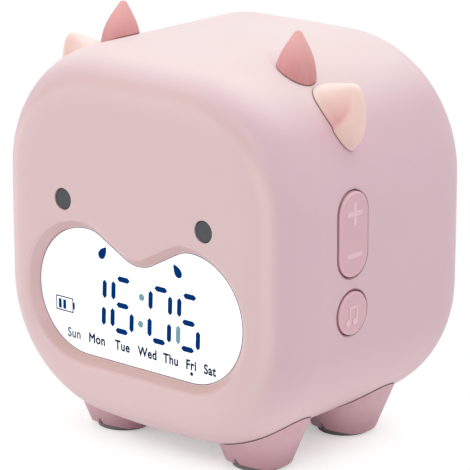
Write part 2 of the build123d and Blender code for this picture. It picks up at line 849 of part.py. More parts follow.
with BuildPart() as control_chip:
    with BuildSketch(front_plane(main_board_back_y, main_board_mid_z)):
        Rectangle(chip_size, chip_size)
    extrude(amount=-chip_thickness)
    chamfer(control_chip.faces().sort_by(Axis.Y)[-1].edges(), chip_thickness / 4)
control_chip.part.label = "control_chip"
export_step(control_chip.part, "parts/control_chip.step")

with BuildPart() as board_connectors:
    with BuildSketch(front_plane(main_board_back_y, main_board_mid_z)):
        with Locations(*connector_places):
            Rectangle(connector_width, connector_height)
    extrude(amount=-connector_depth)
    with BuildSketch(front_plane(main_board_back_y + connector_depth, main_board_mid_z)):
        with Locations(*connector_places):
            Rectangle(connector_width - 2 * connector_wall, connector_height - 2 * connector_wall)
    extrude(amount=connector_depth - connector_wall, mode=Mode.SUBTRACT)
board_connectors.part.label = "board_connectors"
export_step(board_connectors.part, "parts/board_connectors.step")

# --- Eyes ---------------------------------------------------------------------
# Each eye is a stud: a disc in its seat, a stem through the wall and a flattened end.
for name, place in zip(("eye_left", "eye_right"), eye_places):
    with BuildPart() as eye:
        with BuildSketch(front_plane(front_y + eye_sink)):
            with Locations(place):
                Circle(eye_radius)
        extrude(amount=-eye_thickness)
        fillet(eye.faces().sort_by(Axis.Y)[0].edges(), eye_edge_fillet)
        with BuildSketch(front_plane(front_y + eye_sink + eye_thickness)):
            with Locations(place):
                Circle(eye_stem_radius)
        extrude(amount=eye_sink + eye_thickness - wall - eye_head_thickness)
        with BuildSketch(front_plane(front_y + wall)):
            with Locations(place):
                Circle(eye_head_radius)
        extrude(amount=-eye_head_thickness)
    eye.part.label = name
    export_step(eye.part, f"parts/{name}.step")

# --- Horns --------------------------------------------------------------------
# An ogive: an arc from the upright foot, a straight flank and a round tip.
tip_angle = radians(horn_tip_angle)
flank_start = (
    horn_radius - horn_arc_radius * (1 - cos(tip_angle)),
    horn_arc_radius * sin(tip_angle),
)
apex_height = flank_start[1] + flank_start[0] / tan(tip_angle)
tip_centre = apex_height - horn_tip_radius / sin(tip_angle)
tip_mid_angle = (tip_angle + radians(90)) / 2
with BuildPart() as horn_blank:
    with BuildSketch(Plane.XZ):
        with BuildLine():
            Line((0, -horn_skirt), (horn_radius, -horn_skirt))
            Line((horn_radius, -horn_skirt), (horn_radius, 0))
            flank = (
                horn_radius - horn_arc_radius * (1 - cos(tip_angle / 2)),
                horn_arc_radius * sin(tip_angle / 2),
            )
            ThreePointArc((horn_radius, 0), flank, flank_start)
            flank_end = (
                horn_tip_radius * cos(tip_angle),
                tip_centre + horn_tip_radius * sin(tip_angle),
            )
            Line(flank_start, flank_end)
            tip_side = (
                horn_tip_radius * cos(tip_mid_angle),
                tip_centre + horn_tip_radius * sin(tip_mid_angle),
            )
            ThreePointArc(flank_end, tip_side, (0, tip_centre + horn_tip_radius))
            Line((0, tip_centre + horn_tip_radius), (0, -horn_skirt))
        make_face()
    revolve(axis=Axis.Z)

with BuildPart() as horn_right:
    with Locations(horn_plane(1).location):
        add(horn_blank.part)
    add(seam_form, mode=Mode.SUBTRACT)
    with BuildSketch(horn_plane(1)):
        Circle(spigot_radius)
    extrude(amount=horn_spigot_rise)
    with BuildSketch(horn_plane(1)):
        Circle(spigot_radius)
    extrude(amount=horn_spigot_rise - spigot_length - wall)
horn_right.part.label = "horn_right"
export_step(horn_right.part, "parts/horn_right.step")

with BuildPart() as horn_left:
    mirror(horn_right.part, about=Plane.YZ)
horn_left.part.label = "horn_left"
export_step(horn_left.part, "parts/horn_left.step")

# --- Ears ---------------------------------------------------------------------
# Elliptic sections along the ear's axis close to a round tip.
with BuildPart() as ear_right:
    for share in ear_section_shares:
        shift = ear_chord_shift + ear_tip_rise * share**4
        with BuildSketch(ear_plane(share * ear_length)):
            with Locations((shift, 0)):
                Ellipse(
                    ear_half_chord * sqrt(1 - share**ear_chord_power),
                    ear_half_thickness * sqrt(1 - share**ear_thickness_power),
                )
    loft()
    with BuildSketch(ear_plane(0)):
        with Locations((ear_chord_shift, 0)):
            Ellipse(ear_half_chord, ear_half_thickness)
    extrude(amount=-ear_root_depth)
    add(seam_form, mode=Mode.SUBTRACT)
    # shallow scoop in the front face
    with Locations(ear_plane(ear_scoop_reach).location):
        with Locations((ear_scoop_chord, ear_scoop_floor + ear_scoop_radius, 0)):
            Sphere(ear_scoop_radius, mode=Mode.SUBTRACT)
    with BuildSketch(ear_plane(0)):
        Circle(spigot_radius)
    extrude(amount=ear_spigot_rise)
    with BuildSketch(ear_plane(0)):
        Circle(spigot_radius)
    extrude(amount=-ear_spigot_depth)
ear_right.part.label = "ear_right"
export_step(ear_right.part, "parts/ear_right.step")

with BuildPart() as ear_left:
    mirror(ear_right.part, about=Plane.YZ)
ear_left.part.label = "ear_left"
export_step(ear_left.part, "parts/ear_left.step")

# --- Hooves -------------------------------------------------------------------
with BuildPart() as hoof_blank:
    with BuildSketch(Plane.XZ):
        Polygon(
            (0, hoof_pad_show),
            (hoof_sole_radius, hoof_pad_show),
            (hoof_sole_radius + hoof_flare * hoof_blank_height, hoof_pad_show + hoof_blank_height),
            (0, hoof_pad_show + hoof_blank_height),
            align=None,
        )
    revolve(axis=Axis.Z)
    fillet(hoof_blank.faces().sort_by(Axis.Z)[0].edges(), hoof_edge_fillet)
    # cleft between the two toes
    with BuildSketch(front_plane(-hoof_sole_radius - hoof_flare * hoof_blank_height)):
        with BuildLine():
            Line((-cleft_width / 2, 0), (cleft_width / 2, 0))
            ThreePointArc(
                (cleft_width / 2, 0),
                (cleft_width * 0.3, cleft_rise * 0.6),
                (0, hoof_pad_show + cleft_rise),
            )
            ThreePointArc(
                (0, hoof_pad_show + cleft_rise),
                (-cleft_width * 0.3, cleft_rise * 0.6),
                (-cleft_width / 2, 0),
            )
        make_face()
    extrude(amount=-(cleft_depth + hoof_flare * hoof_blank_height), mode=Mode.SUBTRACT)
    # the toes' undersides rise towards the front
    with BuildSketch(Plane.YZ):
        Polygon(
            (toe_length - hoof_sole_radius, hoof_pad_show),
            (-hoof_sole_radius - toe_length, hoof_pad_show),
            (-hoof_sole_radius - toe_length, hoof_pad_show + 2 * toe_rise),
            align=None,
        )
    extrude(amount=hoof_sole_radius, both=True, mode=Mode.SUBTRACT)
    # pocket of the pad, then the screw's seat and hole
    with BuildSketch(Plane.XY.offset(hoof_pad_show)):
        Circle(hoof_pad_radius + seam_gap)
    extrude(amount=hoof_pad_thickness - hoof_pad_show, mode=Mode.SUBTRACT)
    with BuildSketch(Plane.XY.offset(hoof_pad_thickness)):
        Circle(hoof_head_radius + cover_head_gap)
    extrude(amount=hoof_screw_seat_z - hoof_pad_thickness, mode=Mode.SUBTRACT)
    with BuildSketch(Plane.XY.offset(hoof_screw_seat_z)):
        Circle(screw_radius + screw_hole_gap)
    extrude(amount=hoof_blank_height, mode=Mode.SUBTRACT)

hoof_names = ("hoof_front_left", "hoof_front_right", "hoof_rear_left", "hoof_rear_right")
for name, place in zip(hoof_names, hoof_places):
    with BuildPart() as hoof:
        with Locations(place):
            add(hoof_blank.part)
        add(seam_form, mode=Mode.SUBTRACT)
    hoof.part.label = name
    export_step(hoof.part, f"parts/{name}.step")

with BuildPart() as hoof_pads:
    with BuildSketch(Plane.XY):
        with Locations(*hoof_places):
            Circle(hoof_pad_radius)
    extrude(amount=hoof_pad_thickness)
hoof_pads.part.label = "hoof_pads"
export_step(hoof_pads.part, "parts/hoof_pads.step")

# --- Side keys ----------------------------------------------------------------
with BuildPart() as right_volume_key:
    with BuildSketch(Plane.YZ.offset(rocker_flange_x - key_flange_thickness)):
        with Locations((key_y, rocker_mid_z)):
            add(key_slot(key_radius + key_flange))
    extrude(amount=key_flange_thickness)
    with BuildSketch(Plane.YZ.offset(rocker_flange_x)):
        with Locations((key_y, rocker_mid_z)):
            add(key_slot(key_radius))
    extrude(amount=key_top_x - rocker_flange_x)
    fillet(right_volume_key.faces().sort_by(Axis.X)[-1].edges(), key_edge_fillet)
    # a plus above, a minus below
    with BuildSketch(Plane.YZ.offset(key_top_x)):
        with Locations((key_y, rocker_top_z), (key_y, rocker_bottom_z)):
            Rectangle(sign_length, sign_width)
        with Locations((key_y, rocker_top_z)):
            Rectangle(sign_width, sign_length)
    extrude(amount=symbol_height)
    # a stem over each end's switch
    with BuildSketch(Plane.YZ.offset(rocker_flange_x - key_flange_thickness)):
        with Locations((key_y, rocker_top_z), (key_y, rocker_bottom_z)):
            Circle(stem_radius)
    extrude(amount=rocker_stem_x - rocker_flange_x + key_flange_thickness)
    # pivot barrel
    with BuildSketch(front_plane(key_y)):
        with Locations((pivot_x, rocker_mid_z)):
            Circle(barrel_radius)
    extrude(amount=barrel_half_length, both=True)
    with BuildSketch(front_plane(key_y)):
        with Locations((pivot_x, rocker_mid_z)):
            Circle(pivot_pin_radius + pin_running_fit)
    extrude(amount=barrel_half_length, both=True, mode=Mode.SUBTRACT)
right_volume_key.part.label = "right_volume_key"
export_step(right_volume_key.part, "parts/right_volume_key.step")

with BuildPart() as left_set_key:
    mirror(right_volume_key.part, about=Plane.YZ)
left_set_key.part.label = "left_set_key"
export_step(left_set_key.part, "parts/left_set_key.step")

with BuildPart() as round_key_blank:
    with BuildSketch(Plane.YZ.offset(round_flange_x - key_flange_thickness)):
        with Locations((key_y, round_key_z)):
            Circle(key_radius + key_flange)
    extrude(amount=key_flange_thickness)
    with BuildSketch(Plane.YZ.offset(round_flange_x)):
        with Locations((key_y, round_key_z)):
            Circle(key_radius)
    extrude(amount=key_top_x - round_flange_x)
    fillet(round_key_blank.faces().sort_by(Axis.X)[-1].edges(), key_edge_fillet)
    with BuildSketch(Plane.YZ.offset(round_flange_x - key_flange_thickness)):
        with Locations((key_y, round_key_z)):
            Circle(stem_radius)
    extrude(amount=round_stem_x - round_flange_x + key_flange_thickness)

with BuildPart() as right_music_key:
    add(round_key_blank.part)
    # two joined notes
    with BuildSketch(Plane.YZ.offset(key_top_x)):
        for stem_y in (key_y - note_span / 2, key_y + note_span / 2):
            with Locations((stem_y - note_head_radius, note_foot_z)):
                Circle(note_head_radius)
            with Locations((stem_y - note_stem_width / 2, round_key_z)):
                Rectangle(note_stem_width, note_stem_height)
        with Locations((key_y - note_stem_width / 2, note_beam_z)):
            Rectangle(note_span + note_stem_width, note_beam_height)
    extrude(amount=symbol_height)
right_music_key.part.label = "right_music_key"
export_step(right_music_key.part, "parts/right_music_key.step")

with BuildPart() as left_light_key:
    mirror(round_key_blank.part, about=Plane.YZ)
    # a lamp: a disc and its rays
    with BuildSketch(Plane.YZ.offset(-key_top_x)):
        with Locations((key_y, round_key_z)):
            Circle(lamp_radius)
            with PolarLocations(lamp_ray_radius, lamp_rays):
                Rectangle(lamp_ray_length, lamp_ray_width)
    extrude(amount=-symbol_height)
left_light_key.part.label = "left_light_key"
export_step(left_light_key.part, "parts/left_light_key.step")

with BuildPart() as right_rocker_pin:
    with BuildSketch(front_plane(key_y)):
        with Locations((pivot_x, rocker_mid_z)):
            Circle(pivot_pin_radius)
    extrude(amount=pivot_ear_outer, both=True)
    chamfer(right_rocker_pin.edges().filter_by(GeomType.CIRCLE), pivot_pin_radius / 4)
right_rocker_pin.part.label = "right_rocker_pin"
export_step(right_rocker_pin.part, "parts/right_rocker_pin.step")

with BuildPart() as left_rocker_pin:
    mirror(right_rocker_pin.part, about=Plane.YZ)
left_rocker_pin.part.label = "left_rocker_pin"
export_step(left_rocker_pin.part, "parts/left_rocker_pin.step")

with BuildPart() as right_key_board:
    with BuildSketch(Plane.YZ.offset(board_x - key_board_thickness)):
        with Locations((key_y, key_board_mid_z)):
            RectangleRounded(key_board_width, key_board_height, key_board_corner)
        with Locations(*[(key_y, z) for z in key_board_screw_zs]):
            Circle(small_screw_radius + screw_hole_gap, mode=Mode.SUBTRACT)
    extrude(amount=key_board_thickness)
right_key_board.part.label = "right_key_board"
export_step(right_key_board.part, "parts/right_key_board.step")

with BuildPart() as left_key_board:
    mirror(right_key_board.part, about=Plane.YZ)
left_key_board.part.label = "left_key_board"
export_step(left_key_board.part, "parts/left_key_board.step")

with BuildPart() as right_key_switches:
    with BuildSketch(Plane.YZ.offset(board_x)):
        with Locations(*[(key_y, z) for z in (rocker_top_z, rocker_bottom_z, round_key_z)]):
            Rectangle(switch_size, switch_size)
    extrude(amount=switch_thickness)
    with BuildSketch(Plane.YZ.offset(board_x + switch_thickness)):
        with Locations(*[(key_y, z) for z in (rocker_top_z, rocker_bottom_z, round_key_z)]):
            Circle(switch_plunger_radius)
    extrude(amount=switch_plunger_height)
right_key_switches.part.label = "right_key_switches"
export_step(right_key_switches.part, "parts/right_key_switches.step")

with BuildPart() as left_key_switches:
    mirror(right_key_switches.part, about=Plane.YZ)
left_key_switches.part.label = "left_key_switches"
export_step(left_key_switches.part, "parts/left_key_switches.step")

# --- Speaker, charging board and socket ---------------------------------------
with BuildPart() as speaker:
    with BuildSketch(Plane.YZ):
        Polygon(
            (cover_inner_y - 3.2, speaker_z),
            (cover_inner_y - 4.2, speaker_z + 4.5),
            (cover_inner_y - 1.0, speaker_z + 15.3),
            (cover_inner_y, speaker_z + 15.3),
            (cover_inner_y, speaker_z + speaker_radius),
            (cover_inner_y - speaker_rim, speaker_z + speaker_radius),
            (cover_inner_y - speaker_rim, speaker_z + speaker_radius - 1.9),
            (cover_inner_y - speaker_depth / 2, speaker_z + speaker_magnet_radius + 1.6),
            (cover_inner_y - speaker_depth / 2, speaker_z + speaker_magnet_radius),
            (cover_inner_y - speaker_depth, speaker_z + speaker_magnet_radius),
            (cover_inner_y - speaker_depth, speaker_z),
            align=None,
        )
    revolve(axis=Axis((0, 0, speaker_z), (0, 1, 0)))
speaker.part.label = "speaker"
export_step(speaker.part, "parts/speaker.step")

with BuildPart() as charge_board:
    with BuildSketch(Plane.XY.offset(charge_board_bottom_z)):
        with Locations((0, charge_board_mid_y)):
            Rectangle(charge_board_width, charge_board_length)
        with Locations(*charge_screw_places):
            Circle(small_screw_radius + screw_hole_gap, mode=Mode.SUBTRACT)
    extrude(amount=charge_board_thickness)
charge_board.part.label = "charge_board"
export_step(charge_board.part, "parts/charge_board.step")

with BuildPart() as usb_socket:
    with BuildSketch(front_plane(rear_y - usb_recess, usb_z)):
        RectangleRounded(usb_width, usb_thickness, usb_corner)
    extrude(amount=usb_length)
    with BuildSketch(front_plane(rear_y - usb_recess, usb_z)):
        RectangleRounded(usb_width - 2 * usb_wall, usb_thickness - 2 * usb_wall, usb_corner - usb_wall)
    extrude(amount=usb_length - 1, mode=Mode.SUBTRACT)
    with BuildSketch(front_plane(rear_y - usb_recess - usb_length + 1, usb_z)):
        Rectangle(usb_tongue_width, usb_tongue_thickness)
    extrude(amount=-usb_tongue_length)
usb_socket.part.label = "usb_socket"
export_step(usb_socket.part, "parts/usb_socket.step")

# --- Battery and its tray -----------------------------------------------------
with BuildPart() as battery_tray:
    with BuildSketch(Plane.XY.offset(tray_z)):
        with Locations((0, battery_y)):
            RectangleRounded(tray_length, tray_width, tray_corner)
    extrude(amount=tray_height)
    with BuildSketch(Plane.XY.offset(tray_z + tray_wall)):
        with Locations((0, battery_y)):
            RectangleRounded(
                tray_length - 2 * tray_wall,
                tray_width - 2 * tray_wall,
                tray_corner - tray_wall,
            )
    extrude(amount=tray_height, mode=Mode.SUBTRACT)
    with BuildSketch(Plane.XY.offset(tray_z)):
        with Locations((0, battery_y)):
            SlotCenterToCenter(2 * tray_screw_x, 2 * tray_tab_radius)
    extrude(amount=tray_wall)
    with BuildSketch(Plane.XY.offset(tray_z)):
        with Locations(*tray_screw_places):
            Circle(small_screw_radius + screw_hole_gap)
    extrude(amount=tray_wall, mode=Mode.SUBTRACT)
battery_tray.part.label = "battery_tray"
export_step(battery_tray.part, "parts/battery_tray.step")

with BuildPart() as battery:
    with Locations((0, battery_y, tray_z + tray_wall + battery_size[2] / 2)):
        Box(*battery_size)
    fillet(battery.edges(), battery_corner)
battery.part.label = "battery"
export_step(battery.part, "parts/battery.step")

# --- Night light and touch plate ----------------------------------------------
with BuildPart() as light_board:
    with BuildSketch(Plane.XY.offset(light_board_z)):
        Circle(light_board_radius)
        with Locations(*light_screw_places):
            Circle(small_screw_radius + screw_hole_gap, mode=Mode.SUBTRACT)
    extrude(amount=light_board_thickness)
light_board.part.label = "light_board"
export_step(light_board.part, "parts/light_board.step")

with BuildPart() as night_light_leds:
    with BuildSketch(Plane.XY.offset(light_board_top_z)):
        with PolarLocations(led_circle, led_count):
            Rectangle(led_size[0], led_size[1])
    extrude(amount=led_size[2])
night_light_leds.part.label = "night_light_leds"
export_step(night_light_leds.part, "parts/night_light_leds.step")

with BuildPart() as light_diffuser:
    with BuildSketch(Plane.XY.offset(light_board_top_z)):
        Circle(diffuser_radius)
    extrude(amount=diffuser_height)
    fillet(light_diffuser.faces().sort_by(Axis.Z)[-1].edges(), diffuser_round)
    with BuildSketch(Plane.XY.offset(light_board_top_z)):
        Circle(diffuser_radius + diffuser_flange)
    extrude(amount=diffuser_wall)
    with BuildSketch(Plane.XY.offset(light_board_top_z)):
        Circle(diffuser_radius - diffuser_wall)
    extrude(amount=diffuser_height - diffuser_wall, taper=diffuser_taper, mode=Mode.SUBTRACT)
light_diffuser.part.label = "light_diffuser"
export_step(light_diffuser.part, "parts/light_diffuser.step")

with BuildPart() as touch_plate:
    with BuildSketch(Plane.XY.offset(touch_plate_bottom_z)):
        Circle(touch_plate_radius)
    extrude(amount=touch_plate_thickness)
touch_plate.part.label = "touch_plate"
export_step(touch_plate.part, "parts/touch_plate.step")

# A bowed leaf from the board up to the plate.
with BuildPart() as touch_spring:
    foot_z = light_board_top_z
    head_z = touch_plate_bottom_z
    knee_z = (foot_z + head_z) / 2
    with BuildSketch(Plane.XZ):
        with BuildLine():
            ThreePointArc((0, foot_z), (touch_strip_bow, knee_z), (0, head_z))
            Line((0, head_z), (touch_strip_thickness, head_z))
            ThreePointArc(
                (touch_strip_thickness, head_z),
                (touch_strip_bow + touch_strip_thickness, knee_z),
                (touch_strip_thickness, foot_z),
            )
            Line((touch_strip_thickness, foot_z), (0, foot_z))
        make_face()
    extrude(amount=touch_strip_width / 2, both=True)
with BuildPart() as touch_spring_placed:
    with Locations((touch_strip_x, 0, 0)):
        add(touch_spring.part)
touch_spring_placed.part.label = "touch_spring"
export_step(touch_spring_placed.part, "parts/touch_spring.step")

# --- Fasteners ----------------------------------------------------------------
cover_screw = screw(screw_radius, cover_screw_length, cover_head_radius, cover_head_thickness, True)
hoof_screw = screw(screw_radius, hoof_screw_length, hoof_head_radius, hoof_head_thickness)
board_screw = screw(small_screw_radius, small_screw_length, small_head_radius, small_head_thickness)
display_screw = screw(small_screw_radius, display_screw_length, small_head_radius, small_head_thickness)
tray_screw = screw(small_screw_radius, tray_screw_length, small_head_radius, small_head_thickness)
charge_screw = screw(small_screw_radius, charge_screw_length, small_head_radius, small_head_thickness)


screw_groups = {
    "case_screws": (
        cover_screw,
        [
            Location((x, rear_y - cover_counterbore, body_mid_z + z), (-90, 0, 0))
            for x, z in cover_screw_places
        ],
    ),
    "board_screws": (
        board_screw,
        [Location((x, main_board_back_y, z), (-90, 0, 0)) for x, z in board_screw_places],
    ),
    "display_frame_screws": (
        display_screw,
        [
            Location((x, display_ear_front_y + display_ear_thickness, z), (-90, 0, 0))
            for x, z in display_ear_places
        ],
    ),
    "hoof_screws": (
        hoof_screw,
        [Location((x, y, hoof_screw_seat_z), (180, 0, 0)) for x, y in hoof_places],
    ),
    "key_board_screws": (
        board_screw,
        [
            Location((side * (board_x - key_board_thickness), key_y, z), (0, -side * 90, 0))
            for side in (-1, 1)
            for z in key_board_screw_zs
        ],
    ),
    "light_board_screws": (
        board_screw,
        [
            Location((x, y, light_board_z), (180, 0, 0))
            for x, y in light_screw_places
        ],
    ),
    "tray_screws": (
        tray_screw,
        [Location((x, y, tray_z + tray_wall)) for x, y in tray_screw_places],
    ),
    "charge_board_screws": (
        charge_screw,
        [Location((x, y, charge_board_top_z)) for x, y in charge_screw_places],
    ),
}
for name, (fastener, screw_seats) in screw_groups.items():
    with BuildPart() as group:
        with Locations(*screw_seats):
            add(fastener)
    group.part.label = name
    export_step(group.part, f"parts/{name}.step")
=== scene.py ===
"""Looks of a child's bedside clock: a soft cube on four hooves with a snout-shaped lit display.

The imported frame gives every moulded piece. This script dresses each one, adds the figures and signs
of the display and both soft ears, and sets the floor, the lights and the camera. The sizes that the
classes hold are in millimetres, apart from those of a texture and of the lights, in metres.
"""

import logging
import math
from dataclasses import dataclass
from enum import Enum
from typing import Any, Protocol

import bmesh
import bpy
from mathutils import Matrix, Vector
from mathutils.bvhtree import BVHTree

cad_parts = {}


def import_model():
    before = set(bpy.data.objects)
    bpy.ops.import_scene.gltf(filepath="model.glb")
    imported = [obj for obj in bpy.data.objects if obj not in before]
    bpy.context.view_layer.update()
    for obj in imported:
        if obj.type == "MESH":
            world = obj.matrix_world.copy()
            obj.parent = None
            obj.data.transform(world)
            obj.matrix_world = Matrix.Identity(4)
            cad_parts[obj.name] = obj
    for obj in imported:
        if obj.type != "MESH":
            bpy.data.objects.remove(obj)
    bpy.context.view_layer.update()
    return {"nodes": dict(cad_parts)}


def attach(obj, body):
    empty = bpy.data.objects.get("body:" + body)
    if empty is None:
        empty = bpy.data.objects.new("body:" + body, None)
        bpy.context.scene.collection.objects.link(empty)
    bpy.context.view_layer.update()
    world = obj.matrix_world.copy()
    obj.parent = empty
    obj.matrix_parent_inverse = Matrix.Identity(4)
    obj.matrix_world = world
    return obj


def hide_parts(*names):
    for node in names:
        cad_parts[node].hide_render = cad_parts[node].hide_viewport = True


MM = 0.001
LOG = logging.getLogger("bedside_clock")

# The curve between a screen's values and light.
SCREEN_TOP, SCREEN_BREAK, SCREEN_SLOPE, SCREEN_OFFSET, SCREEN_POWER = 255, 0.04045, 12.92, 0.055, 2.4
# A Mix node's colour sockets, whose names its other sockets share.
MIX_SHARE, MIX_FIRST, MIX_SECOND, MIX_COLOUR = 0, 6, 7, 2
# The power that makes a circle a rounded square.
SQUARENESS = 4

Triple = tuple[float, float, float]
Colour = tuple[float, float, float, float]
Span = tuple[float, float]
Outline = list[tuple[float, float]]


# --- Numbers ------------------------------------------------------------------
def tone(red: int, green: int, blue: int) -> Colour:
    """A colour written in screen values.

    Args:
        red: its red, from 0 to 255.
        green: its green.
        blue: its blue.

    Returns:
        The same colour in linear light.
    """
    linear = []
    for value in (red, green, blue):
        share = value / SCREEN_TOP
        curved = ((share + SCREEN_OFFSET) / (1 + SCREEN_OFFSET)) ** SCREEN_POWER
        linear.append(share / SCREEN_SLOPE if share <= SCREEN_BREAK else curved)
    return (linear[0], linear[1], linear[2], 1.0)


def clamp(value: float) -> float:
    """The nearest value from 0 to 1."""
    return min(max(value, 0.0), 1.0)


def smooth(value: float) -> float:
    """A share from 0 to 1, eased at both ends."""
    return value * value * (3 - 2 * value)


def rectangle(left: float, right: float, low: float, high: float) -> Outline:
    """The corners of a rectangle, anticlockwise."""
    return [(left, low), (right, low), (right, high), (left, high)]


# --- Node wiring --------------------------------------------------------------
class Signal:
    """A node's output that Python expressions work with: each operator adds a Math node."""

    def __init__(self, bench: "NodeBench", node: bpy.types.Node, output: str | int = 0) -> None:
        """Keeps the output's place in the tree.

        Args:
            bench: the bench that adds nodes after it.
            node: the node.
            output: which of the node's outputs it is, by name or index.
        """
        self.bench = bench
        self.node = node
        self.output = output

    @property
    def socket(self) -> bpy.types.NodeSocket:
        """The output itself."""
        return self.node.outputs[self.output]

    def out(self, output: str | int) -> "Signal":
        """Another output of the same node, by name or index."""
        return Signal(self.bench, self.node, output)

    def __add__(self, other: "Signal | float") -> "Signal":
        """self + other."""
        return self.bench.maths("ADD", self, other)

    def __radd__(self, other: float) -> "Signal":
        """other + self."""
        return self.bench.maths("ADD", other, self)

    def __sub__(self, other: "Signal | float") -> "Signal":
        """self - other."""
        return self.bench.maths("SUBTRACT", self, other)

    def __rsub__(self, other: float) -> "Signal":
        """other - self."""
        return self.bench.maths("SUBTRACT", other, self)

    def __mul__(self, other: "Signal | float") -> "Signal":
        """self * other."""
        return self.bench.maths("MULTIPLY", self, other)

    def __rmul__(self, other: float) -> "Signal":
        """other * self."""
        return self.bench.maths("MULTIPLY", other, self)

    def __truediv__(self, other: "Signal | float") -> "Signal":
        """self / other."""
        return self.bench.maths("DIVIDE", self, other)

    def __rtruediv__(self, other: float) -> "Signal":
        """other / self."""
        return self.bench.maths("DIVIDE", other, self)

    def __pow__(self, other: "Signal | float") -> "Signal":
        """self to the power of other."""
        return self.bench.maths("POWER", self, other)

    def __rpow__(self, other: float) -> "Signal":
        """other to the power of self."""
        return self.bench.maths("POWER", other, self)

    def __abs__(self) -> "Signal":
        """The size of self without its sign."""
        return self.bench.maths("ABSOLUTE", self)

    def hypot(self, other: "Signal") -> "Signal":
        """The length of a line that goes self one way and other across it."""
        return (self * self + other * other) ** 0.5

    def squared_off(self, other: "Signal") -> "Signal":
        """How far out a point lies, counted in rounded squares in place of circles."""
        return (self ** SQUARENESS + other ** SQUARENESS) ** (1 / SQUARENESS)

    def step(self, span: Span, unit: float = 1.0) -> "Signal":
        """A smooth change from 0 to 1.

        Args:
            span: where it is 0 and where it is 1; either may be the higher.
            unit: what the span is counted in.

        Returns:
            The share as a signal.
        """
        start, end = span[0] * unit, span[1] * unit
        inputs = {"Value": self, "From Min": min(start, end), "From Max": max(start, end)}
        rise = self.bench.node("ShaderNodeMapRange", {"interpolation_type": "SMOOTHSTEP"}, inputs)
        return rise if start < end else 1 - rise


class NodeBench:
    """A node tree, and the one way in which nodes are added to it."""

    def __init__(self, tree: bpy.types.NodeTree) -> None:
        """Starts with an empty tree."""
        self.tree = tree
        self.tree.nodes.clear()

    def node(
        self,
        kind: str,
        settings: dict[str, Any] | None = None,
        values: dict[str | int, Any] | None = None,
        output: str | int = 0,
    ) -> Signal:
        """Adds any node.

        Args:
            kind: the node's type name.
            settings: its properties.
            values: numbers, colours, signals or a list of signals for its inputs, by name or index.
            output: the output to return, by name or index.

        Returns:
            That output as a signal.
        """
        made = self.tree.nodes.new(kind)
        for key, value in (settings or {}).items():
            setattr(made, key, value)
        for key, value in (values or {}).items():
            for source in value if isinstance(value, list) else [value]:
                if isinstance(source, Signal):
                    self.tree.links.new(source.socket, made.inputs[key])
                else:
                    made.inputs[key].default_value = source
        return Signal(self, made, output)

    def maths(self, operation: str, *values: Signal | float) -> Signal:
        """A Math node's result on those values, in order."""
        return self.node("ShaderNodeMath", {"operation": operation}, dict(enumerate(values)))


class MaterialBench(NodeBench):
    """A new material's tree, and what the finishes build their patterns from."""

    def __init__(self, name: str) -> None:
        """Starts a material.

        Args:
            name: its name.
        """
        self.material = bpy.data.materials.new(name)
        self.material.use_nodes = True
        super().__init__(self.material.node_tree)

    def place(self) -> Signal:
        """The point on the piece, in metres in the shared frame."""
        return self.node("ShaderNodeTexCoord", output="Object")

    def facing(self) -> Signal:
        """The surface's outward direction on the piece."""
        return self.node("ShaderNodeTexCoord", output="Normal")

    def axes(self, vector: Signal) -> tuple[Signal, Signal, Signal]:
        """The three numbers of a vector."""
        split = self.node("ShaderNodeSeparateXYZ", values={0: vector})
        return split, split.out(1), split.out(2)

    def noise(self, size: float, detail: float = 2.0, stretch: Triple = (1, 1, 1)) -> Signal:
        """Soft noise from 0 to 1.

        Args:
            size: the width of its patches, in metres.
            detail: how many finer layers lie on it.
            stretch: how many times longer the patches are along each axis.

        Returns:
            The noise as a signal.
        """
        scale = tuple(1 / (size * share) for share in stretch)
        spot = self.node("ShaderNodeMapping", values={"Vector": self.place(), "Scale": scale})
        return self.node("ShaderNodeTexNoise", values={"Vector": spot, "Scale": 1.0, "Detail": detail})

    def mix(self, share: Signal | float, first: Signal | Colour, second: Signal | Colour) -> Signal:
        """A colour between two, the first at share 0 and the second at share 1."""
        colours = {MIX_SHARE: share, MIX_FIRST: first, MIX_SECOND: second}
        return self.node("ShaderNodeMix", {"data_type": "RGBA"}, colours, MIX_COLOUR)

    def bump(self, height: Signal, depth: float, strength: float) -> Signal:
        """A normal that follows height, a signal from 0 to 1 that stands for depth metres."""
        inputs = {"Height": height, "Distance": depth, "Strength": strength}
        return self.node("ShaderNodeBump", values=inputs)

    def shader(self, **inputs: Any) -> Signal:
        """A Principled shader; its inputs are named with _ for each space."""
        values = {key.replace("_", " "): value for key, value in inputs.items()}
        return self.node("ShaderNodeBsdfPrincipled", values=values)

    def close(self, shader: Signal) -> bpy.types.Material:
        """Puts a shader on the surface and returns the material."""
        self.node("ShaderNodeOutputMaterial", values={"Surface": shader})
        return self.material


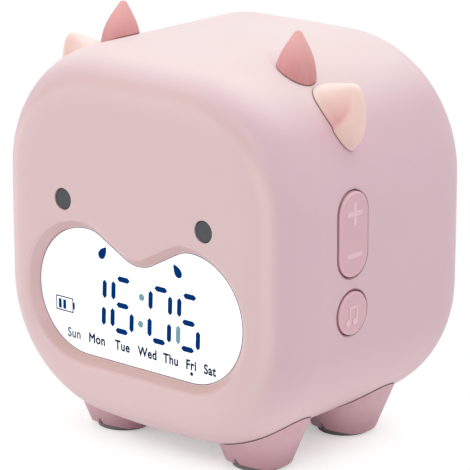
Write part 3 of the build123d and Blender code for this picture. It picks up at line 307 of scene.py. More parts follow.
# --- The body's form, which some finishes follow ------------------------------
@dataclass(frozen=True)
class BodyForm:
    """The arcs of the shell's outline and the rounding of its edges."""

    corner_radius: float = 35.0
    corner_x: float = 14.92
    upper_corner_z: float = 70.62
    lower_corner_z: float = 41.6
    belly_radius: float = 260.0
    belly_centre_z: float = 266.1
    belly_half_width: float = 17.2
    edge_radius: float = 14.0
    edge_start: float = 25.25

    def beyond_corner(self, out: Signal, z: Signal, centre_z: float) -> Signal:
        """How far a point lies outside a round corner, in metres.

        Args:
            out: the point's distance from the middle of the clock.
            z: its height.
            centre_z: the height of the corner's centre.

        Returns:
            The distance as a signal.
        """
        across = out - self.corner_x * MM
        up = z - centre_z * MM
        return across.hypot(up) - self.corner_radius * MM

    def beyond_belly(self, bench: MaterialBench) -> Signal:
        """How far a point lies outside the underside and the lower corners, in metres.

        Args:
            bench: the material's nodes.

        Returns:
            The distance as a signal.
        """
        x, y, z = bench.axes(bench.place())
        out = abs(x)
        corner = self.beyond_corner(out, z, self.lower_corner_z)
        belly = out.hypot(z - self.belly_centre_z * MM) - self.belly_radius * MM
        sideways = bench.maths("GREATER_THAN", out, self.belly_half_width * MM)
        edge = self.edge_radius * MM
        past = bench.maths("MAXIMUM", abs(y) - self.edge_start * MM, 0.0)
        inset = edge - (edge * edge - past * past) ** 0.5
        return belly + sideways * (corner - belly) + inset

    def beyond_roof(self, bench: MaterialBench) -> Signal:
        """How far a point lies outside the upper corners, in metres."""
        x, _, z = bench.axes(bench.place())
        return self.beyond_corner(abs(x), z, self.upper_corner_z)


FORM = BodyForm()


@dataclass(frozen=True)
class RecessForm:
    """The display recess as a long oval round both cheeks."""

    cheek_x: float = 17.65
    cheek_z: float = 42.1
    edge: Span = (21.1, 20.1)

    def inside(self, bench: MaterialBench) -> Signal:
        """1 inside the recess and 0 outside it.

        Args:
            bench: the material's nodes.

        Returns:
            The share as a signal.
        """
        x, _, z = bench.axes(bench.place())
        across = bench.maths("MAXIMUM", abs(x) - self.cheek_x * MM, 0.0)
        return across.hypot(z - self.cheek_z * MM).step(self.edge, MM)


# --- What the finishes share --------------------------------------------------
@dataclass(frozen=True)
class Grain:
    """A fine texture: its size and depth in metres, and how strongly its relief shows."""

    size: float
    strength: float
    depth: float = 0.00001
    detail: float = 2.0
    stretch: Triple = (1, 1, 1)

    def lay(self, bench: MaterialBench) -> tuple[Signal, Signal]:
        """The texture from 0 to 1, and the normal that follows it."""
        pattern = bench.noise(self.size, self.detail, self.stretch)
        return pattern, bench.bump(pattern, self.depth, self.strength)


@dataclass(frozen=True)
class Mottle:
    """Soft clouds that draw a colour towards a second one and change the gloss a little.

    size is in metres, swing and share say how much of the second colour comes and goes and how much
    of it is always there, and gloss is how much the clouds add to the roughness.
    """

    size: float
    swing: float
    share: float
    gloss: float = 0.0
    detail: float = 3.0
    middle: float = 0.5

    def lay(self, bench: MaterialBench, colour: Signal, second: Colour) -> tuple[Signal, Signal]:
        """The clouds from 0 to 1, and the colour with the second one clouded into it."""
        clouds = bench.noise(self.size, self.detail)
        return clouds, bench.mix((clouds - self.middle) * self.swing + self.share, colour, second)


@dataclass(frozen=True)
class SeamShade:
    """The shaded line that a plugged-in piece shows along the shell."""

    colour: Colour
    span: Span
    share: float

    def draw(self, bench: MaterialBench, colour: Signal, beyond: Signal) -> Signal:
        """The colour with the line over it, where beyond is the distance from the shell."""
        return bench.mix(beyond.step(self.span, MM) * self.share, colour, self.colour)


@dataclass(frozen=True)
class SoftInside:
    """How light sinks into a plastic: its share, the colours' shares of the reach, and the reach."""

    share: float
    spread: Triple
    reach: float

    def inputs(self) -> dict[str, Any]:
        """The shader inputs that say so; the reach is in metres."""
        names = ("Subsurface_Weight", "Subsurface_Radius", "Subsurface_Scale")
        return dict(zip(names, (self.share, self.spread, self.reach)))


# --- Finishes -----------------------------------------------------------------
@dataclass(frozen=True)
class Finish:
    """A named finish that builds its material once."""

    name: str

    def material(self) -> bpy.types.Material:
        """The finish's material, built at its first use."""
        found = bpy.data.materials.get(self.name)
        return found or self.build(MaterialBench(self.name))

    def build(self, bench: MaterialBench) -> bpy.types.Material:
        """Builds the nodes; each kind of finish has its own."""
        raise NotImplementedError


@dataclass(frozen=True)
class ShellSatin(Finish):
    """Satin moulded skin of one pink, with painted light and shade: cooler and darker on the sides, paler on
    top, warmer where the front turns.
    """

    front: Colour = tone(226, 196, 198)
    # painted shade: the sides get a darker, cooler tone than the front
    side: Colour = tone(219, 187, 197)
    front_facing: Span = (0.66, 0.93)
    # painted light: faces turned upwards get a paler tone
    top_light: Colour = tone(241, 222, 222)
    top_light_facing: Span = (0.5, 0.93)
    # painted light: the front gets a lighter tone towards its bottom
    chin_light: Colour = tone(238, 206, 209)
    chin_light_z: Span = (36.0, 14.0)
    chin_light_share: float = 0.8
    # painted shade: a warmer, darker band where the front turns over towards the top; the random clouds
    # below also use this tone
    turn: Colour = tone(212, 177, 170)
    turn_shade_starts: Span = (0.77, 0.87)
    turn_shade_ends: Span = (0.96, 0.89)
    turn_shade_upwards: Span = (0.12, 0.4)
    turn_shade_share: float = 0.4
    # painted highlight: a lighter band down the front's side edges, fading out towards the bottom
    edge_light: Colour = tone(235, 206, 205)
    edge_light_z: Span = (18.0, 45.0)
    edge_light_share: float = 0.7
    # painted shade on the recess's sloping walls: darker in general, less so where they face sideways,
    # warmer and darker on the lower ledge
    recess_shade: Colour = tone(214, 178, 176)
    recess_cheek_light: Colour = tone(226, 191, 192)
    recess_cheek_facing: Span = (0.2, 0.65)
    recess_ledge_shade: Colour = tone(211, 176, 170)
    recess_ledge_z: Span = (34.0, 26.0)
    slope_y: Span = (-39.2, -38.5)
    slope_facing: Span = (0.05, 0.2)
    recess_shade_share: float = 0.9
    recess: RecessForm = RecessForm()
    mottle: Mottle = Mottle(0.05, 0.3, 0.05, 0.08)
    grain: Grain = Grain(0.00045, 0.25)
    grain_gloss: float = 0.05
    rough: float = 0.4
    shine: float = 0.4
    inside: SoftInside = SoftInside(0.12, (1.0, 0.45, 0.4), 0.002)

    def build(self, bench: MaterialBench) -> bpy.types.Material:
        """Paints light and shade into the tones by the skin's direction, by height and in the recess, then
        clouds and grains them.

        Args:
            bench: the new material's nodes.

        Returns:
            The material.
        """
        _, y, z = bench.axes(bench.place())
        normal_x, normal_y, normal_z = bench.axes(bench.facing())
        forward = normal_y * -1
        # painted shade on the sides, by the skin's direction
        colour = bench.mix(forward.step(self.front_facing), self.side, self.front)
        # painted light, lightening the lower front
        colour = bench.mix(z.step(self.chin_light_z, MM) * self.chin_light_share, colour, self.chin_light)
        # painted light on faces turned upwards
        colour = bench.mix(normal_z.step(self.top_light_facing), colour, self.top_light)
        # painted shade along the front's upper turn
        band = forward.step(self.turn_shade_starts) * forward.step(self.turn_shade_ends)
        upper = normal_z.step(self.turn_shade_upwards)
        colour = bench.mix(band * upper * self.turn_shade_share, colour, self.turn)
        # painted highlight down the front's side edges
        beside = band * (1 - upper) * z.step(self.edge_light_z, MM)
        colour = bench.mix(beside * self.edge_light_share, colour, self.edge_light)
        # painted shade on the recess's sloping walls, by their direction and height
        depth = y.step(self.slope_y, MM) * forward.step(self.slope_facing)
        slope = bench.mix(abs(normal_x).step(self.recess_cheek_facing), self.recess_shade, self.recess_cheek_light)
        slope = bench.mix(z.step(self.recess_ledge_z, MM), slope, self.recess_ledge_shade)
        colour = bench.mix(self.recess.inside(bench) * depth * self.recess_shade_share, colour, slope)
        clouds, colour = self.mottle.lay(bench, colour, self.turn)
        grain, normal = self.grain.lay(bench)
        shader = bench.shader(
            Base_Color=colour,
            Roughness=self.rough + clouds * self.mottle.gloss + grain * self.grain_gloss,
            Specular_IOR_Level=self.shine,
            Normal=normal,
            **self.inside.inputs(),
        )
        return bench.close(shader)


@dataclass(frozen=True)
class KeySatin(Finish):
    """The keys' plastic: a deeper pink, its raised signs lighter, with a painted highlight on the rounded
    rim and painted shade on the flanks.
    """

    face: Colour = tone(218, 174, 183)
    sign: Colour = tone(233, 194, 201)
    # the colour of the painted shade on the key's flanks
    edge: Colour = tone(184, 126, 136)
    sign_x: Span = (50.64, 50.7)
    highlight_facing: Span = (0.98, 0.85)
    rim_share: float = 0.6
    shaded_flank_facing: Span = (0.5, 0.15)
    shaded_flank_share: float = 0.7
    wear: Mottle = Mottle(0.004, 0.3, 0.08, 0.12)
    grain: Grain = Grain(0.0004, 0.2)
    rough: float = 0.38
    inside: SoftInside = SoftInside(0.08, (1.0, 0.4, 0.4), 0.0015)

    def build(self, bench: MaterialBench) -> bpy.types.Material:
        """Lightens what stands above the key's face, paints a highlight on its rounded rim and paints shade
        on its flanks.

        Args:
            bench: the new material's nodes.

        Returns:
            The material.
        """
        x, _, _ = bench.axes(bench.place())
        normal_x, _, _ = bench.axes(bench.facing())
        facing = abs(normal_x)
        # painted highlight where the face rounds over, in the signs' lighter colour
        colour = bench.mix(facing.step(self.highlight_facing) * self.rim_share, self.face, self.sign)
        # painted shade on the flanks
        colour = bench.mix(facing.step(self.shaded_flank_facing) * self.shaded_flank_share, colour, self.edge)
        colour = bench.mix(abs(x).step(self.sign_x, MM), colour, self.sign)
        clouds, colour = self.wear.lay(bench, colour, self.sign)
        _, normal = self.grain.lay(bench)
        rough = self.rough + clouds * self.wear.gloss
        soft = self.inside.inputs()
        return bench.close(bench.shader(Base_Color=colour, Roughness=rough, Normal=normal, **soft))


@dataclass(frozen=True)
class HornMatte(Finish):
    """The horns: paler at the tip, with faint upright lines in relief that are also drawn lighter as painted
    highlight streaks, and a painted shade line at the foot.
    """

    tip: Colour = tone(238, 179, 176)
    foot: Colour = tone(208, 139, 140)
    rise_z: Span = (100.0, 114.0)
    # the lines: real relief, whose pattern also paints lighter highlight streaks below
    lines: Grain = Grain(0.0007, 0.3, 0.00002, 2.0, (1, 1, 14))
    line_middle: float = 0.45
    line_share: float = 0.5
    line_gloss: float = 0.1
    mottle: Mottle = Mottle(0.006, 0.4, 0.1)
    # painted shade along the horn's foot on the shell
    seam: SeamShade = SeamShade(tone(112, 58, 64), (0.4, 0.16), 0.85)
    rough: float = 0.5
    inside: SoftInside = SoftInside(0.1, (1.0, 0.35, 0.3), 0.0015)

    def build(self, bench: MaterialBench) -> bpy.types.Material:
        """Blends from foot to tip, draws the lines in relief and as painted highlight streaks, and paints
        the shade line at the foot.

        Args:
            bench: the new material's nodes.

        Returns:
            The material.
        """
        _, _, z = bench.axes(bench.place())
        colour = bench.mix(z.step(self.rise_z, MM), self.foot, self.tip)
        lines, normal = self.lines.lay(bench)
        # painted highlight streaks along the lines
        colour = bench.mix((lines - self.line_middle) * self.line_share, colour, self.tip)
        _, colour = self.mottle.lay(bench, colour, self.foot)
        # painted shade line at the foot
        colour = self.seam.draw(bench, colour, FORM.beyond_roof(bench))
        rough = self.rough + lines * self.line_gloss
        soft = self.inside.inputs()
        return bench.close(bench.shader(Base_Color=colour, Roughness=rough, Normal=normal, **soft))


@dataclass(frozen=True)
class EarMatte(Finish):
    """The ears: peach on the face, cream above and darker below by painted light and shade, pinker in the
    dent, a tint with painted shade in it, and a painted shade line at the root.
    """

    # painted light: faces turned upwards get a cream tone
    upper: Colour = tone(252, 238, 230)
    ear_light_facing: Span = (0.25, 0.85)
    face: Colour = tone(246, 213, 203)
    # painted shade: faces turned downwards get a darker tone
    lower: Colour = tone(238, 200, 200)
    ear_shade_facing: Span = (-0.1, -0.7)
    # the dent's pinker tone: its own tint, deepened by painted shade
    inner: Colour = tone(236, 174, 176)
    dent_shade_facing: Span = (0.0, 0.4)
    mottle: Mottle = Mottle(0.005, 0.3, 0.05, 0.1)
    grain: Grain = Grain(0.0005, 0.25)
    # painted shade along the ear's root on the shell
    seam: SeamShade = SeamShade(tone(168, 108, 106), (0.4, 0.16), 0.8)
    rough: float = 0.5
    inside: SoftInside = SoftInside(0.12, (1.0, 0.5, 0.4), 0.002)

    def build(self, bench: MaterialBench) -> bpy.types.Material:
        """Paints light and shade by the skin's direction, and the dent's tint and shade by the dent's depth,
        which the mesh carries.

        Args:
            bench: the new material's nodes.

        Returns:
            The material.
        """
        _, normal_y, normal_z = bench.axes(bench.facing())
        # painted light on top and painted shade below, by the skin's direction
        colour = bench.mix(normal_z.step(self.ear_light_facing), self.face, self.upper)
        colour = bench.mix(normal_z.step(self.ear_shade_facing), colour, self.lower)
        # the dent's tint with painted shade, stronger towards the dent's lower part
        blush = bench.node("ShaderNodeAttribute", {"attribute_name": "blush"}, output="Fac")
        forward = (normal_y * -1).step(self.dent_shade_facing)
        colour = bench.mix(blush * forward, colour, self.inner)
        clouds, colour = self.mottle.lay(bench, colour, self.inner)
        # painted shade line at the root
        colour = self.seam.draw(bench, colour, FORM.beyond_roof(bench))
        _, normal = self.grain.lay(bench)
        rough = self.rough + clouds * self.mottle.gloss
        soft = self.inside.inputs()
        return bench.close(bench.shader(Base_Color=colour, Roughness=rough, Normal=normal, **soft))


@dataclass(frozen=True)
class HoofMatte(Finish):
    """The hooves: dusty rose, darker towards the sole, with painted shade along the body's seam."""

    upper: Colour = tone(222, 182, 189)
    sole: Colour = tone(200, 156, 164)
    rise_z: Span = (0.5, 10.0)
    mottle: Mottle = Mottle(0.004, 0.5, 0.1, 0.12)
    grain: Grain = Grain(0.0005, 0.3)
    # painted shade along the hoof's rim under the body
    seam: SeamShade = SeamShade(tone(96, 48, 56), (0.33, 0.165), 0.9)
    rough: float = 0.5
    inside: SoftInside = SoftInside(0.06, (1.0, 0.4, 0.4), 0.0015)

    def build(self, bench: MaterialBench) -> bpy.types.Material:
        """Blends by height, then paints shade on the rim under the body.

        Args:
            bench: the new material's nodes.

        Returns:
            The material.
        """
        _, _, z = bench.axes(bench.place())
        colour = bench.mix(z.step(self.rise_z, MM), self.sole, self.upper)
        clouds, colour = self.mottle.lay(bench, colour, self.sole)
        # painted shade line along the body's seam
        colour = self.seam.draw(bench, colour, FORM.beyond_belly(bench))
        _, normal = self.grain.lay(bench)
        rough = self.rough + clouds * self.mottle.gloss
        soft = self.inside.inputs()
        return bench.close(bench.shader(Base_Color=colour, Roughness=rough, Normal=normal, **soft))


@dataclass(frozen=True)
class MouldedPlastic(Finish):
    """A plain moulded plastic with clouded colour and a fine texture."""

    colour: Colour
    deep: Colour
    rough: float
    cloud_size: float = 0.006
    grain: Grain = Grain(0.0004, 0.5)
    coat: float = 0.0
    coat_rough: float = 0.12
    cloud_detail: float = 4.0
    cloud_span: Span = (0.3, 0.75)
    cloud_share: float = 0.5
    cloud_gloss: float = 0.16

    def build(self, bench: MaterialBench) -> bpy.types.Material:
        """Clouds the colour and the roughness, and adds the grain.

        Args:
            bench: the new material's nodes.

        Returns:
            The material.
        """
        clouds = bench.noise(self.cloud_size, self.cloud_detail)
        _, normal = self.grain.lay(bench)
        shader = bench.shader(
            Base_Color=bench.mix(clouds.step(self.cloud_span) * self.cloud_share, self.colour, self.deep),
            Roughness=self.rough + (clouds - 0.5) * self.cloud_gloss,
            Coat_Weight=self.coat,
            Coat_Roughness=self.coat_rough,
            Normal=normal,
        )
        return bench.close(shader)


@dataclass(frozen=True)
class EyeSatin(Finish):
    """The eyes: soft grey caps, with painted shade round their rounded edge."""

    face: Colour = tone(68, 69, 74)
    # the colour of the painted shade round the cap's edge
    edge: Colour = tone(40, 40, 44)
    centre_x: float = 23.8
    centre_z: float = 66.2
    shade_radii: Span = (2.25, 2.75)
    shade_share: float = 0.8
    cloud_size: float = 0.002
    cloud_detail: float = 3.0
    cloud_share: float = 0.2
    cloud_gloss: float = 0.08
    grain: Grain = Grain(0.0003, 0.3)
    rough: float = 0.46

    def build(self, bench: MaterialBench) -> bpy.types.Material:
        """Paints shade round the cap's edge and clouds its face.

        Args:
            bench: the new material's nodes.

        Returns:
            The material.
        """
        x, _, z = bench.axes(bench.place())
        out = (abs(x) - self.centre_x * MM).hypot(z - self.centre_z * MM)
        clouds = bench.noise(self.cloud_size, self.cloud_detail)
        # painted shade round the edge, plus random clouds
        share = out.step(self.shade_radii, MM) * self.shade_share + (clouds - 0.5) * self.cloud_share
        _, normal = self.grain.lay(bench)
        shader = bench.shader(
            Base_Color=bench.mix(share, self.face, self.edge),
            Roughness=self.rough + clouds * self.cloud_gloss,
            Normal=normal,
        )
        return bench.close(shader)


@dataclass(frozen=True)
class BrushedMetal(Finish):
    """Metal with fine lines along one axis and a few dull spots."""

    colour: Colour
    deep: Colour
    rough: float
    line_size: float = 0.00012
    line_stretch: Triple = (20, 1, 1)
    line_depth: float = 0.000005
    line_strength: float = 0.6
    line_detail: float = 3.0
    line_share: float = 0.4
    spot_size: float = 0.002
    spot_detail: float = 4.0
    spot_span: Span = (0.55, 0.75)
    spot_share: float = 0.3
    gloss: float = 0.15

    def build(self, bench: MaterialBench) -> bpy.types.Material:
        """Draws the lines into the colour, the roughness and the normal.

        Args:
            bench: the new material's nodes.

        Returns:
            The material.
        """
        lines = bench.noise(self.line_size, self.line_detail, self.line_stretch)
        spots = bench.noise(self.spot_size, self.spot_detail).step(self.spot_span)
        shader = bench.shader(
            Base_Color=bench.mix(lines * self.line_share + spots * self.spot_share, self.colour, self.deep),
            Metallic=1.0,
            Roughness=self.rough + lines * self.gloss + spots * self.gloss,
            Normal=bench.bump(lines, self.line_depth, self.line_strength),
        )
        return bench.close(shader)


@dataclass(frozen=True)
class CircuitBoard(Finish):
    """A board with solder mask, copper tracks showing through and small plated holes.

    Its tracks are the walls between square cells; the spans are distances from a cell's middle.
    """

    mask: Colour = tone(24, 96, 58)
    track: Colour = tone(56, 140, 84)
    solder: Colour = tone(205, 205, 200)
    cell: float = 0.0032
    dots_in_cell: int = 3
    track_span: Span = (0.42, 0.47)
    pad_span: Span = (0.2, 0.16)
    pad_cells: Span = (0.3, 0.36)
    relief: float = 0.00004
    relief_strength: float = 0.6
    cloud_size: float = 0.002
    gloss: float = 0.1
    rough: float = 0.35
    coat: float = 0.3
    coat_rough: float = 0.15

    def build(self, bench: MaterialBench) -> bpy.types.Material:
        """Lays the tracks between the cells, with pads at some of them.

        Args:
            bench: the new material's nodes.

        Returns:
            The material.
        """
        place = bench.place()
        cells = {"Vector": place, "Scale": 1 / self.cell}
        squares = {"distance": "CHEBYCHEV", "feature": "F1"}
        edges = bench.node("ShaderNodeTexVoronoi", squares, cells, "Distance")
        dots = {"Vector": place, "Scale": self.dots_in_cell / self.cell}
        holes = bench.node("ShaderNodeTexVoronoi", values=dots, output="Distance")
        tracks = edges.step(self.track_span)
        pads = holes.step(self.pad_span) * edges.step(self.pad_cells)
        shader = bench.shader(
            Base_Color=bench.mix(pads, bench.mix(tracks, self.mask, self.track), self.solder),
            Metallic=pads,
            Roughness=self.rough - pads * self.gloss + bench.noise(self.cloud_size) * self.gloss,
            Coat_Weight=self.coat,
            Coat_Roughness=self.coat_rough,
            Normal=bench.bump(tracks + pads, self.relief, self.relief_strength),
        )
        return bench.close(shader)


@dataclass(frozen=True)
class LitScreen(Finish):
    """The display's white face, lit from behind, a little dimmer at its rim."""

    white: Colour = tone(250, 252, 253)
    rim: Colour = tone(242, 245, 247)
    glow: float = 0.3
    centre_z: float = 42.1
    half_width: float = 34.0
    half_height: float = 17.5
    rim_span: Span = (0.8, 1.1)
    rim_share: float = 0.6
    cloud_size: float = 0.02
    cloud_share: float = 0.06
    cloud_gloss: float = 0.05
    rough: float = 0.22
    coat: float = 0.35
    coat_rough: float = 0.06

    def build(self, bench: MaterialBench) -> bpy.types.Material:
        """Dims the light towards the rim and clouds it very slightly.

        Args:
            bench: the new material's nodes.

        Returns:
            The material.
        """
        x, _, z = bench.axes(bench.place())
        across = x / (self.half_width * MM)
        along = (z - self.centre_z * MM) / (self.half_height * MM)
        rim = across.squared_off(along).step(self.rim_span)
        clouds = bench.noise(self.cloud_size)
        colour = bench.mix(rim * self.rim_share + clouds * self.cloud_share, self.white, self.rim)
        shader = bench.shader(
            Base_Color=colour,
            Roughness=self.rough + clouds * self.cloud_gloss,
            Coat_Weight=self.coat,
            Coat_Roughness=self.coat_rough,
            Emission_Color=colour,
            Emission_Strength=self.glow,
        )
        return bench.close(shader)


@dataclass(frozen=True)
class DisplayInk(Finish):
    """The dark cells of the display, with the faint weave of their grid."""

    colour: Colour = tone(4, 62, 132)
    deep: Colour = tone(0, 44, 108)
    cloud_size: float = 0.003
    cloud_share: float = 0.7
    grid_size: float = 0.00022
    grid_share: float = 0.3
    grid_gloss: float = 0.1
    rough: float = 0.6

    def build(self, bench: MaterialBench) -> bpy.types.Material:
        """Varies the colour over the cells.

        Args:
            bench: the new material's nodes.

        Returns:
            The material.
        """
        clouds = bench.noise(self.cloud_size)
        grid = bench.noise(self.grid_size, 0.0)
        colour = bench.mix(clouds * self.cloud_share + grid * self.grid_share, self.colour, self.deep)
        rough = self.rough + grid * self.grid_gloss
        return bench.close(bench.shader(Base_Color=colour, Roughness=rough, Specular_IOR_Level=0.0))


@dataclass(frozen=True)
class GlowLamp(Finish):
    """A surface-mounted lamp: a cream body with a yellow phosphor window."""

    body: Colour = tone(240, 236, 224)
    phosphor: Colour = tone(236, 208, 84)
    window_facing: Span = (0.6, 0.9)
    spot_size: float = 0.001
    spot_share: float = 0.25
    spot_gloss: float = 0.1
    rough: float = 0.25
    glow: float = 0.15

    def build(self, bench: MaterialBench) -> bpy.types.Material:
        """Puts the phosphor on what faces up.

        Args:
            bench: the new material's nodes.

        Returns:
            The material.
        """
        _, _, up = bench.axes(bench.facing())
        spots = bench.noise(self.spot_size)
        share = up.step(self.window_facing) * (1 - self.spot_share + spots * self.spot_share)
        colour = bench.mix(share, self.body, self.phosphor)
        shader = bench.shader(
            Base_Color=colour,
            Roughness=self.rough + spots * self.spot_gloss,
            Emission_Color=colour,
            Emission_Strength=self.glow,
        )
        return bench.close(shader)


CHIP_GRAIN = Grain(0.0004, 0.5, 0.00002)
CONE_GRAIN = Grain(0.0003, 0.5, 0.00006)
RUBBER_GRAIN = Grain(0.0003, 0.5, 0.00005)


class Dress(Enum):
    """The finish of each kind of piece."""

    SHELL = ShellSatin("shell_satin")
    KEY = KeySatin("key_satin")
    HORN = HornMatte("horn_matte")
    EAR = EarMatte("ear_matte")
    HOOF = HoofMatte("hoof_matte")
    EYE = EyeSatin("eye_grey_satin")
    SCREEN = LitScreen("lit_screen")
    INK = DisplayInk("display_ink")
    FAINT_INK = DisplayInk("display_ink_faint", tone(142, 178, 190), tone(120, 160, 176))
    DAY_INK = DisplayInk("day_ink", tone(22, 54, 94), tone(14, 42, 80))
    FAINT_DAY_INK = DisplayInk("day_ink_faint", tone(128, 138, 150), tone(110, 122, 138))
    GLASS = MouldedPlastic("lcd_glass", tone(214, 219, 222), tone(200, 206, 210), 0.12, 0.01, coat=0.6)
    WHITE_FRAME = MouldedPlastic("frame_white", tone(226, 226, 222), tone(208, 208, 204), 0.5)
    BOARD = CircuitBoard("board_green")
    LIGHT_BOARD = CircuitBoard("board_white", tone(228, 230, 228), tone(214, 218, 214))
    CHIP = MouldedPlastic("chip_epoxy", tone(32, 32, 34), tone(22, 22, 24), 0.6, grain=CHIP_GRAIN)
    SOCKET = MouldedPlastic("connector_nylon", tone(230, 222, 200), tone(212, 202, 178), 0.5)
    LAMP = GlowLamp("glow_lamp")
    DIFFUSER = MouldedPlastic("diffuser_frost", tone(242, 242, 238), tone(228, 228, 224), 0.6, 0.01)
    SPEAKER = MouldedPlastic("speaker_cone", tone(38, 38, 40), tone(24, 24, 26), 0.7, 0.002, CONE_GRAIN)
    POUCH = BrushedMetal("battery_foil", tone(196, 199, 204), tone(168, 172, 178), 0.3, 0.0008, (1, 1, 1))
    COPPER = BrushedMetal("contact_copper", tone(204, 140, 96), tone(150, 92, 58), 0.3)
    SCREW = BrushedMetal("screw_zinc", tone(176, 177, 182), tone(112, 112, 118), 0.32, 0.0002, (1, 1, 4))
    PORT = BrushedMetal("socket_plate", tone(206, 208, 212), tone(150, 152, 156), 0.2, 0.0002, (6, 1, 1))
    WINDOW_SEAM = MouldedPlastic("window_seam_shade", tone(146, 118, 124), tone(126, 100, 106), 0.7, 0.004)
    KEY_SEAM = MouldedPlastic("key_seam_shade", tone(162, 112, 118), tone(140, 94, 101), 0.7, 0.004)
    RUBBER = MouldedPlastic("pad_rubber", tone(164, 155, 158), tone(142, 134, 137), 0.8, 0.003, RUBBER_GRAIN)


NODE_DRESS: dict[Dress, tuple[str, ...]] = {
    Dress.SHELL: ("main_shell", "rear_cover"),
    Dress.KEY: ("right_volume_key", "left_set_key", "right_music_key", "left_light_key"),
    Dress.HORN: ("horn_left", "horn_right"),
    Dress.EAR: ("ear_left", "ear_right"),
    Dress.HOOF: ("hoof_front_left", "hoof_front_right", "hoof_rear_left", "hoof_rear_right"),
    Dress.EYE: ("eye_left", "eye_right"),
    Dress.SCREEN: ("display_window",),
    Dress.GLASS: ("lcd_panel",),
    Dress.WHITE_FRAME: ("display_frame", "battery_tray", "backlight_panel"),
    Dress.BOARD: ("main_board", "right_key_board", "left_key_board", "charge_board"),
    Dress.LIGHT_BOARD: ("light_board",),
    Dress.CHIP: ("control_chip", "right_key_switches", "left_key_switches"),
    Dress.SOCKET: ("board_connectors",),
    Dress.LAMP: ("night_light_leds",),
    Dress.DIFFUSER: ("light_diffuser",),
    Dress.SPEAKER: ("speaker",),
    Dress.POUCH: ("battery",),
    Dress.COPPER: ("touch_plate", "touch_spring"),
    Dress.SCREW: (
        "case_screws",
        "board_screws",
        "display_frame_screws",
        "hoof_screws",
        "key_board_screws",
        "light_board_screws",
        "tray_screws",
        "charge_board_screws",
        "right_rocker_pin",
        "left_rocker_pin",
    ),
    Dress.PORT: ("usb_socket",),
    Dress.RUBBER: ("hoof_pads",),
}


# --- Making pieces ------------------------------------------------------------
class Body(Enum):
    """The bodies that pieces ride on."""

    HOUSING = "housing"
    RIGHT_ROCKER = "right_volume_rocker"
    LEFT_ROCKER = "left_set_rocker"


class Side(Enum):
    """A side of the clock, and the sign of x there."""

    RIGHT = 1
    LEFT = -1

    @property
    def word(self) -> str:
        """The side as names say it."""
        return self.name.lower()

    @property
    def rocker(self) -> Body:
        """The body of the rocker key on that side."""
        return Body.RIGHT_ROCKER if self is Side.RIGHT else Body.LEFT_ROCKER


class Assembly(Protocol):
    """A group of pieces that one class makes."""

    def make(self) -> list[bpy.types.Object]:
        """Makes the pieces."""


def dress_piece(piece: bpy.types.Object, dress: Dress) -> None:
    """Gives a piece its finish and nothing else."""
    piece.data.materials.clear()
    piece.data.materials.append(dress.value.material())


def set_piece(piece: bpy.types.Object, body: Body, dress: Dress) -> bpy.types.Object:
    """Dresses a finished piece and tells the frame what carries it.

    Args:
        piece: the finished object, at the origin.
        body: the body that it rides on.
        dress: its finish.

    Returns:
        The piece.
    """
    dress_piece(piece, dress)
    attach(piece, body.value)
    return piece


def link_object(name: str, data: Any) -> bpy.types.Object:
    """Makes an object and adds it to the scene.

    Args:
        name: its name.
        data: its mesh, curve, light or camera.

    Returns:
        The object.
    """
    made = bpy.data.objects.new(name, data)
    bpy.context.scene.collection.objects.link(made)
    return made


def finish_mesh(name: str, shape: bmesh.types.BMesh) -> bpy.types.Object:
    """Turns a finished shape's faces outwards and makes it an object.

    Args:
        name: the piece's name.
        shape: the shape, which is freed.

    Returns:
        The object.
    """
    bmesh.ops.recalc_face_normals(shape, faces=shape.faces)
    mesh = bpy.data.meshes.new(name)
    shape.to_mesh(mesh)
    shape.free()
    return link_object(name, mesh)


def flat_mesh(carrier: bpy.types.Object) -> bpy.types.Mesh:
    """A plain mesh of an object as its modifiers or its curve make it."""
    graph = bpy.context.evaluated_depsgraph_get()
    return bpy.data.meshes.new_from_object(carrier.evaluated_get(graph))


def bridge(shape: bmesh.types.BMesh, row: list[Any], beside: list[Any]) -> None:
    """Adds the faces between two closed rows.

    Args:
        shape: the shape to add to.
        row: the vertices of one row, in order.
        beside: those of the next, in the same order.
    """
    for step in range(len(row)):
        after = (step + 1) % len(row)
        shape.faces.new((row[step], row[after], beside[after], beside[step]))


def close_band(shape: bmesh.types.BMesh, loops: list[list[Vector]]) -> None:
    """Adds a closed band whose section has one corner on each loop.

    Args:
        shape: the shape to add to.
        loops: the closed loops of points, in order round the section.
    """
    rows = [[shape.verts.new(point) for point in loop] for loop in loops]
    for row, beside in zip(rows, rows[1:] + rows[:1]):
        bridge(shape, row, beside)


def add_prism(shape: bmesh.types.BMesh, first: list[Vector], last: list[Vector]) -> None:
    """Adds a solid between two outlines.

    Args:
        shape: the shape to add to.
        first: the points of one end, in order.
        last: the points of the other end, in the same order.
    """
    start = [shape.verts.new(point) for point in first]
    end = [shape.verts.new(point) for point in last]
    shape.faces.new(start)
    shape.faces.new(list(reversed(end)))
    bridge(shape, start, end)


@dataclass
class PackedPieces:
    """The moulded and bought-in pieces that the frame brings."""

    nodes: dict[str, bpy.types.Object]

    def make(self) -> list[bpy.types.Object]:
        """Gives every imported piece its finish.

        Returns:
            The pieces.
        """
        dressed = []
        for dress, names in NODE_DRESS.items():
            for name in names:
                dress_piece(self.nodes[name], dress)
                dressed.append(self.nodes[name])
        return dressed


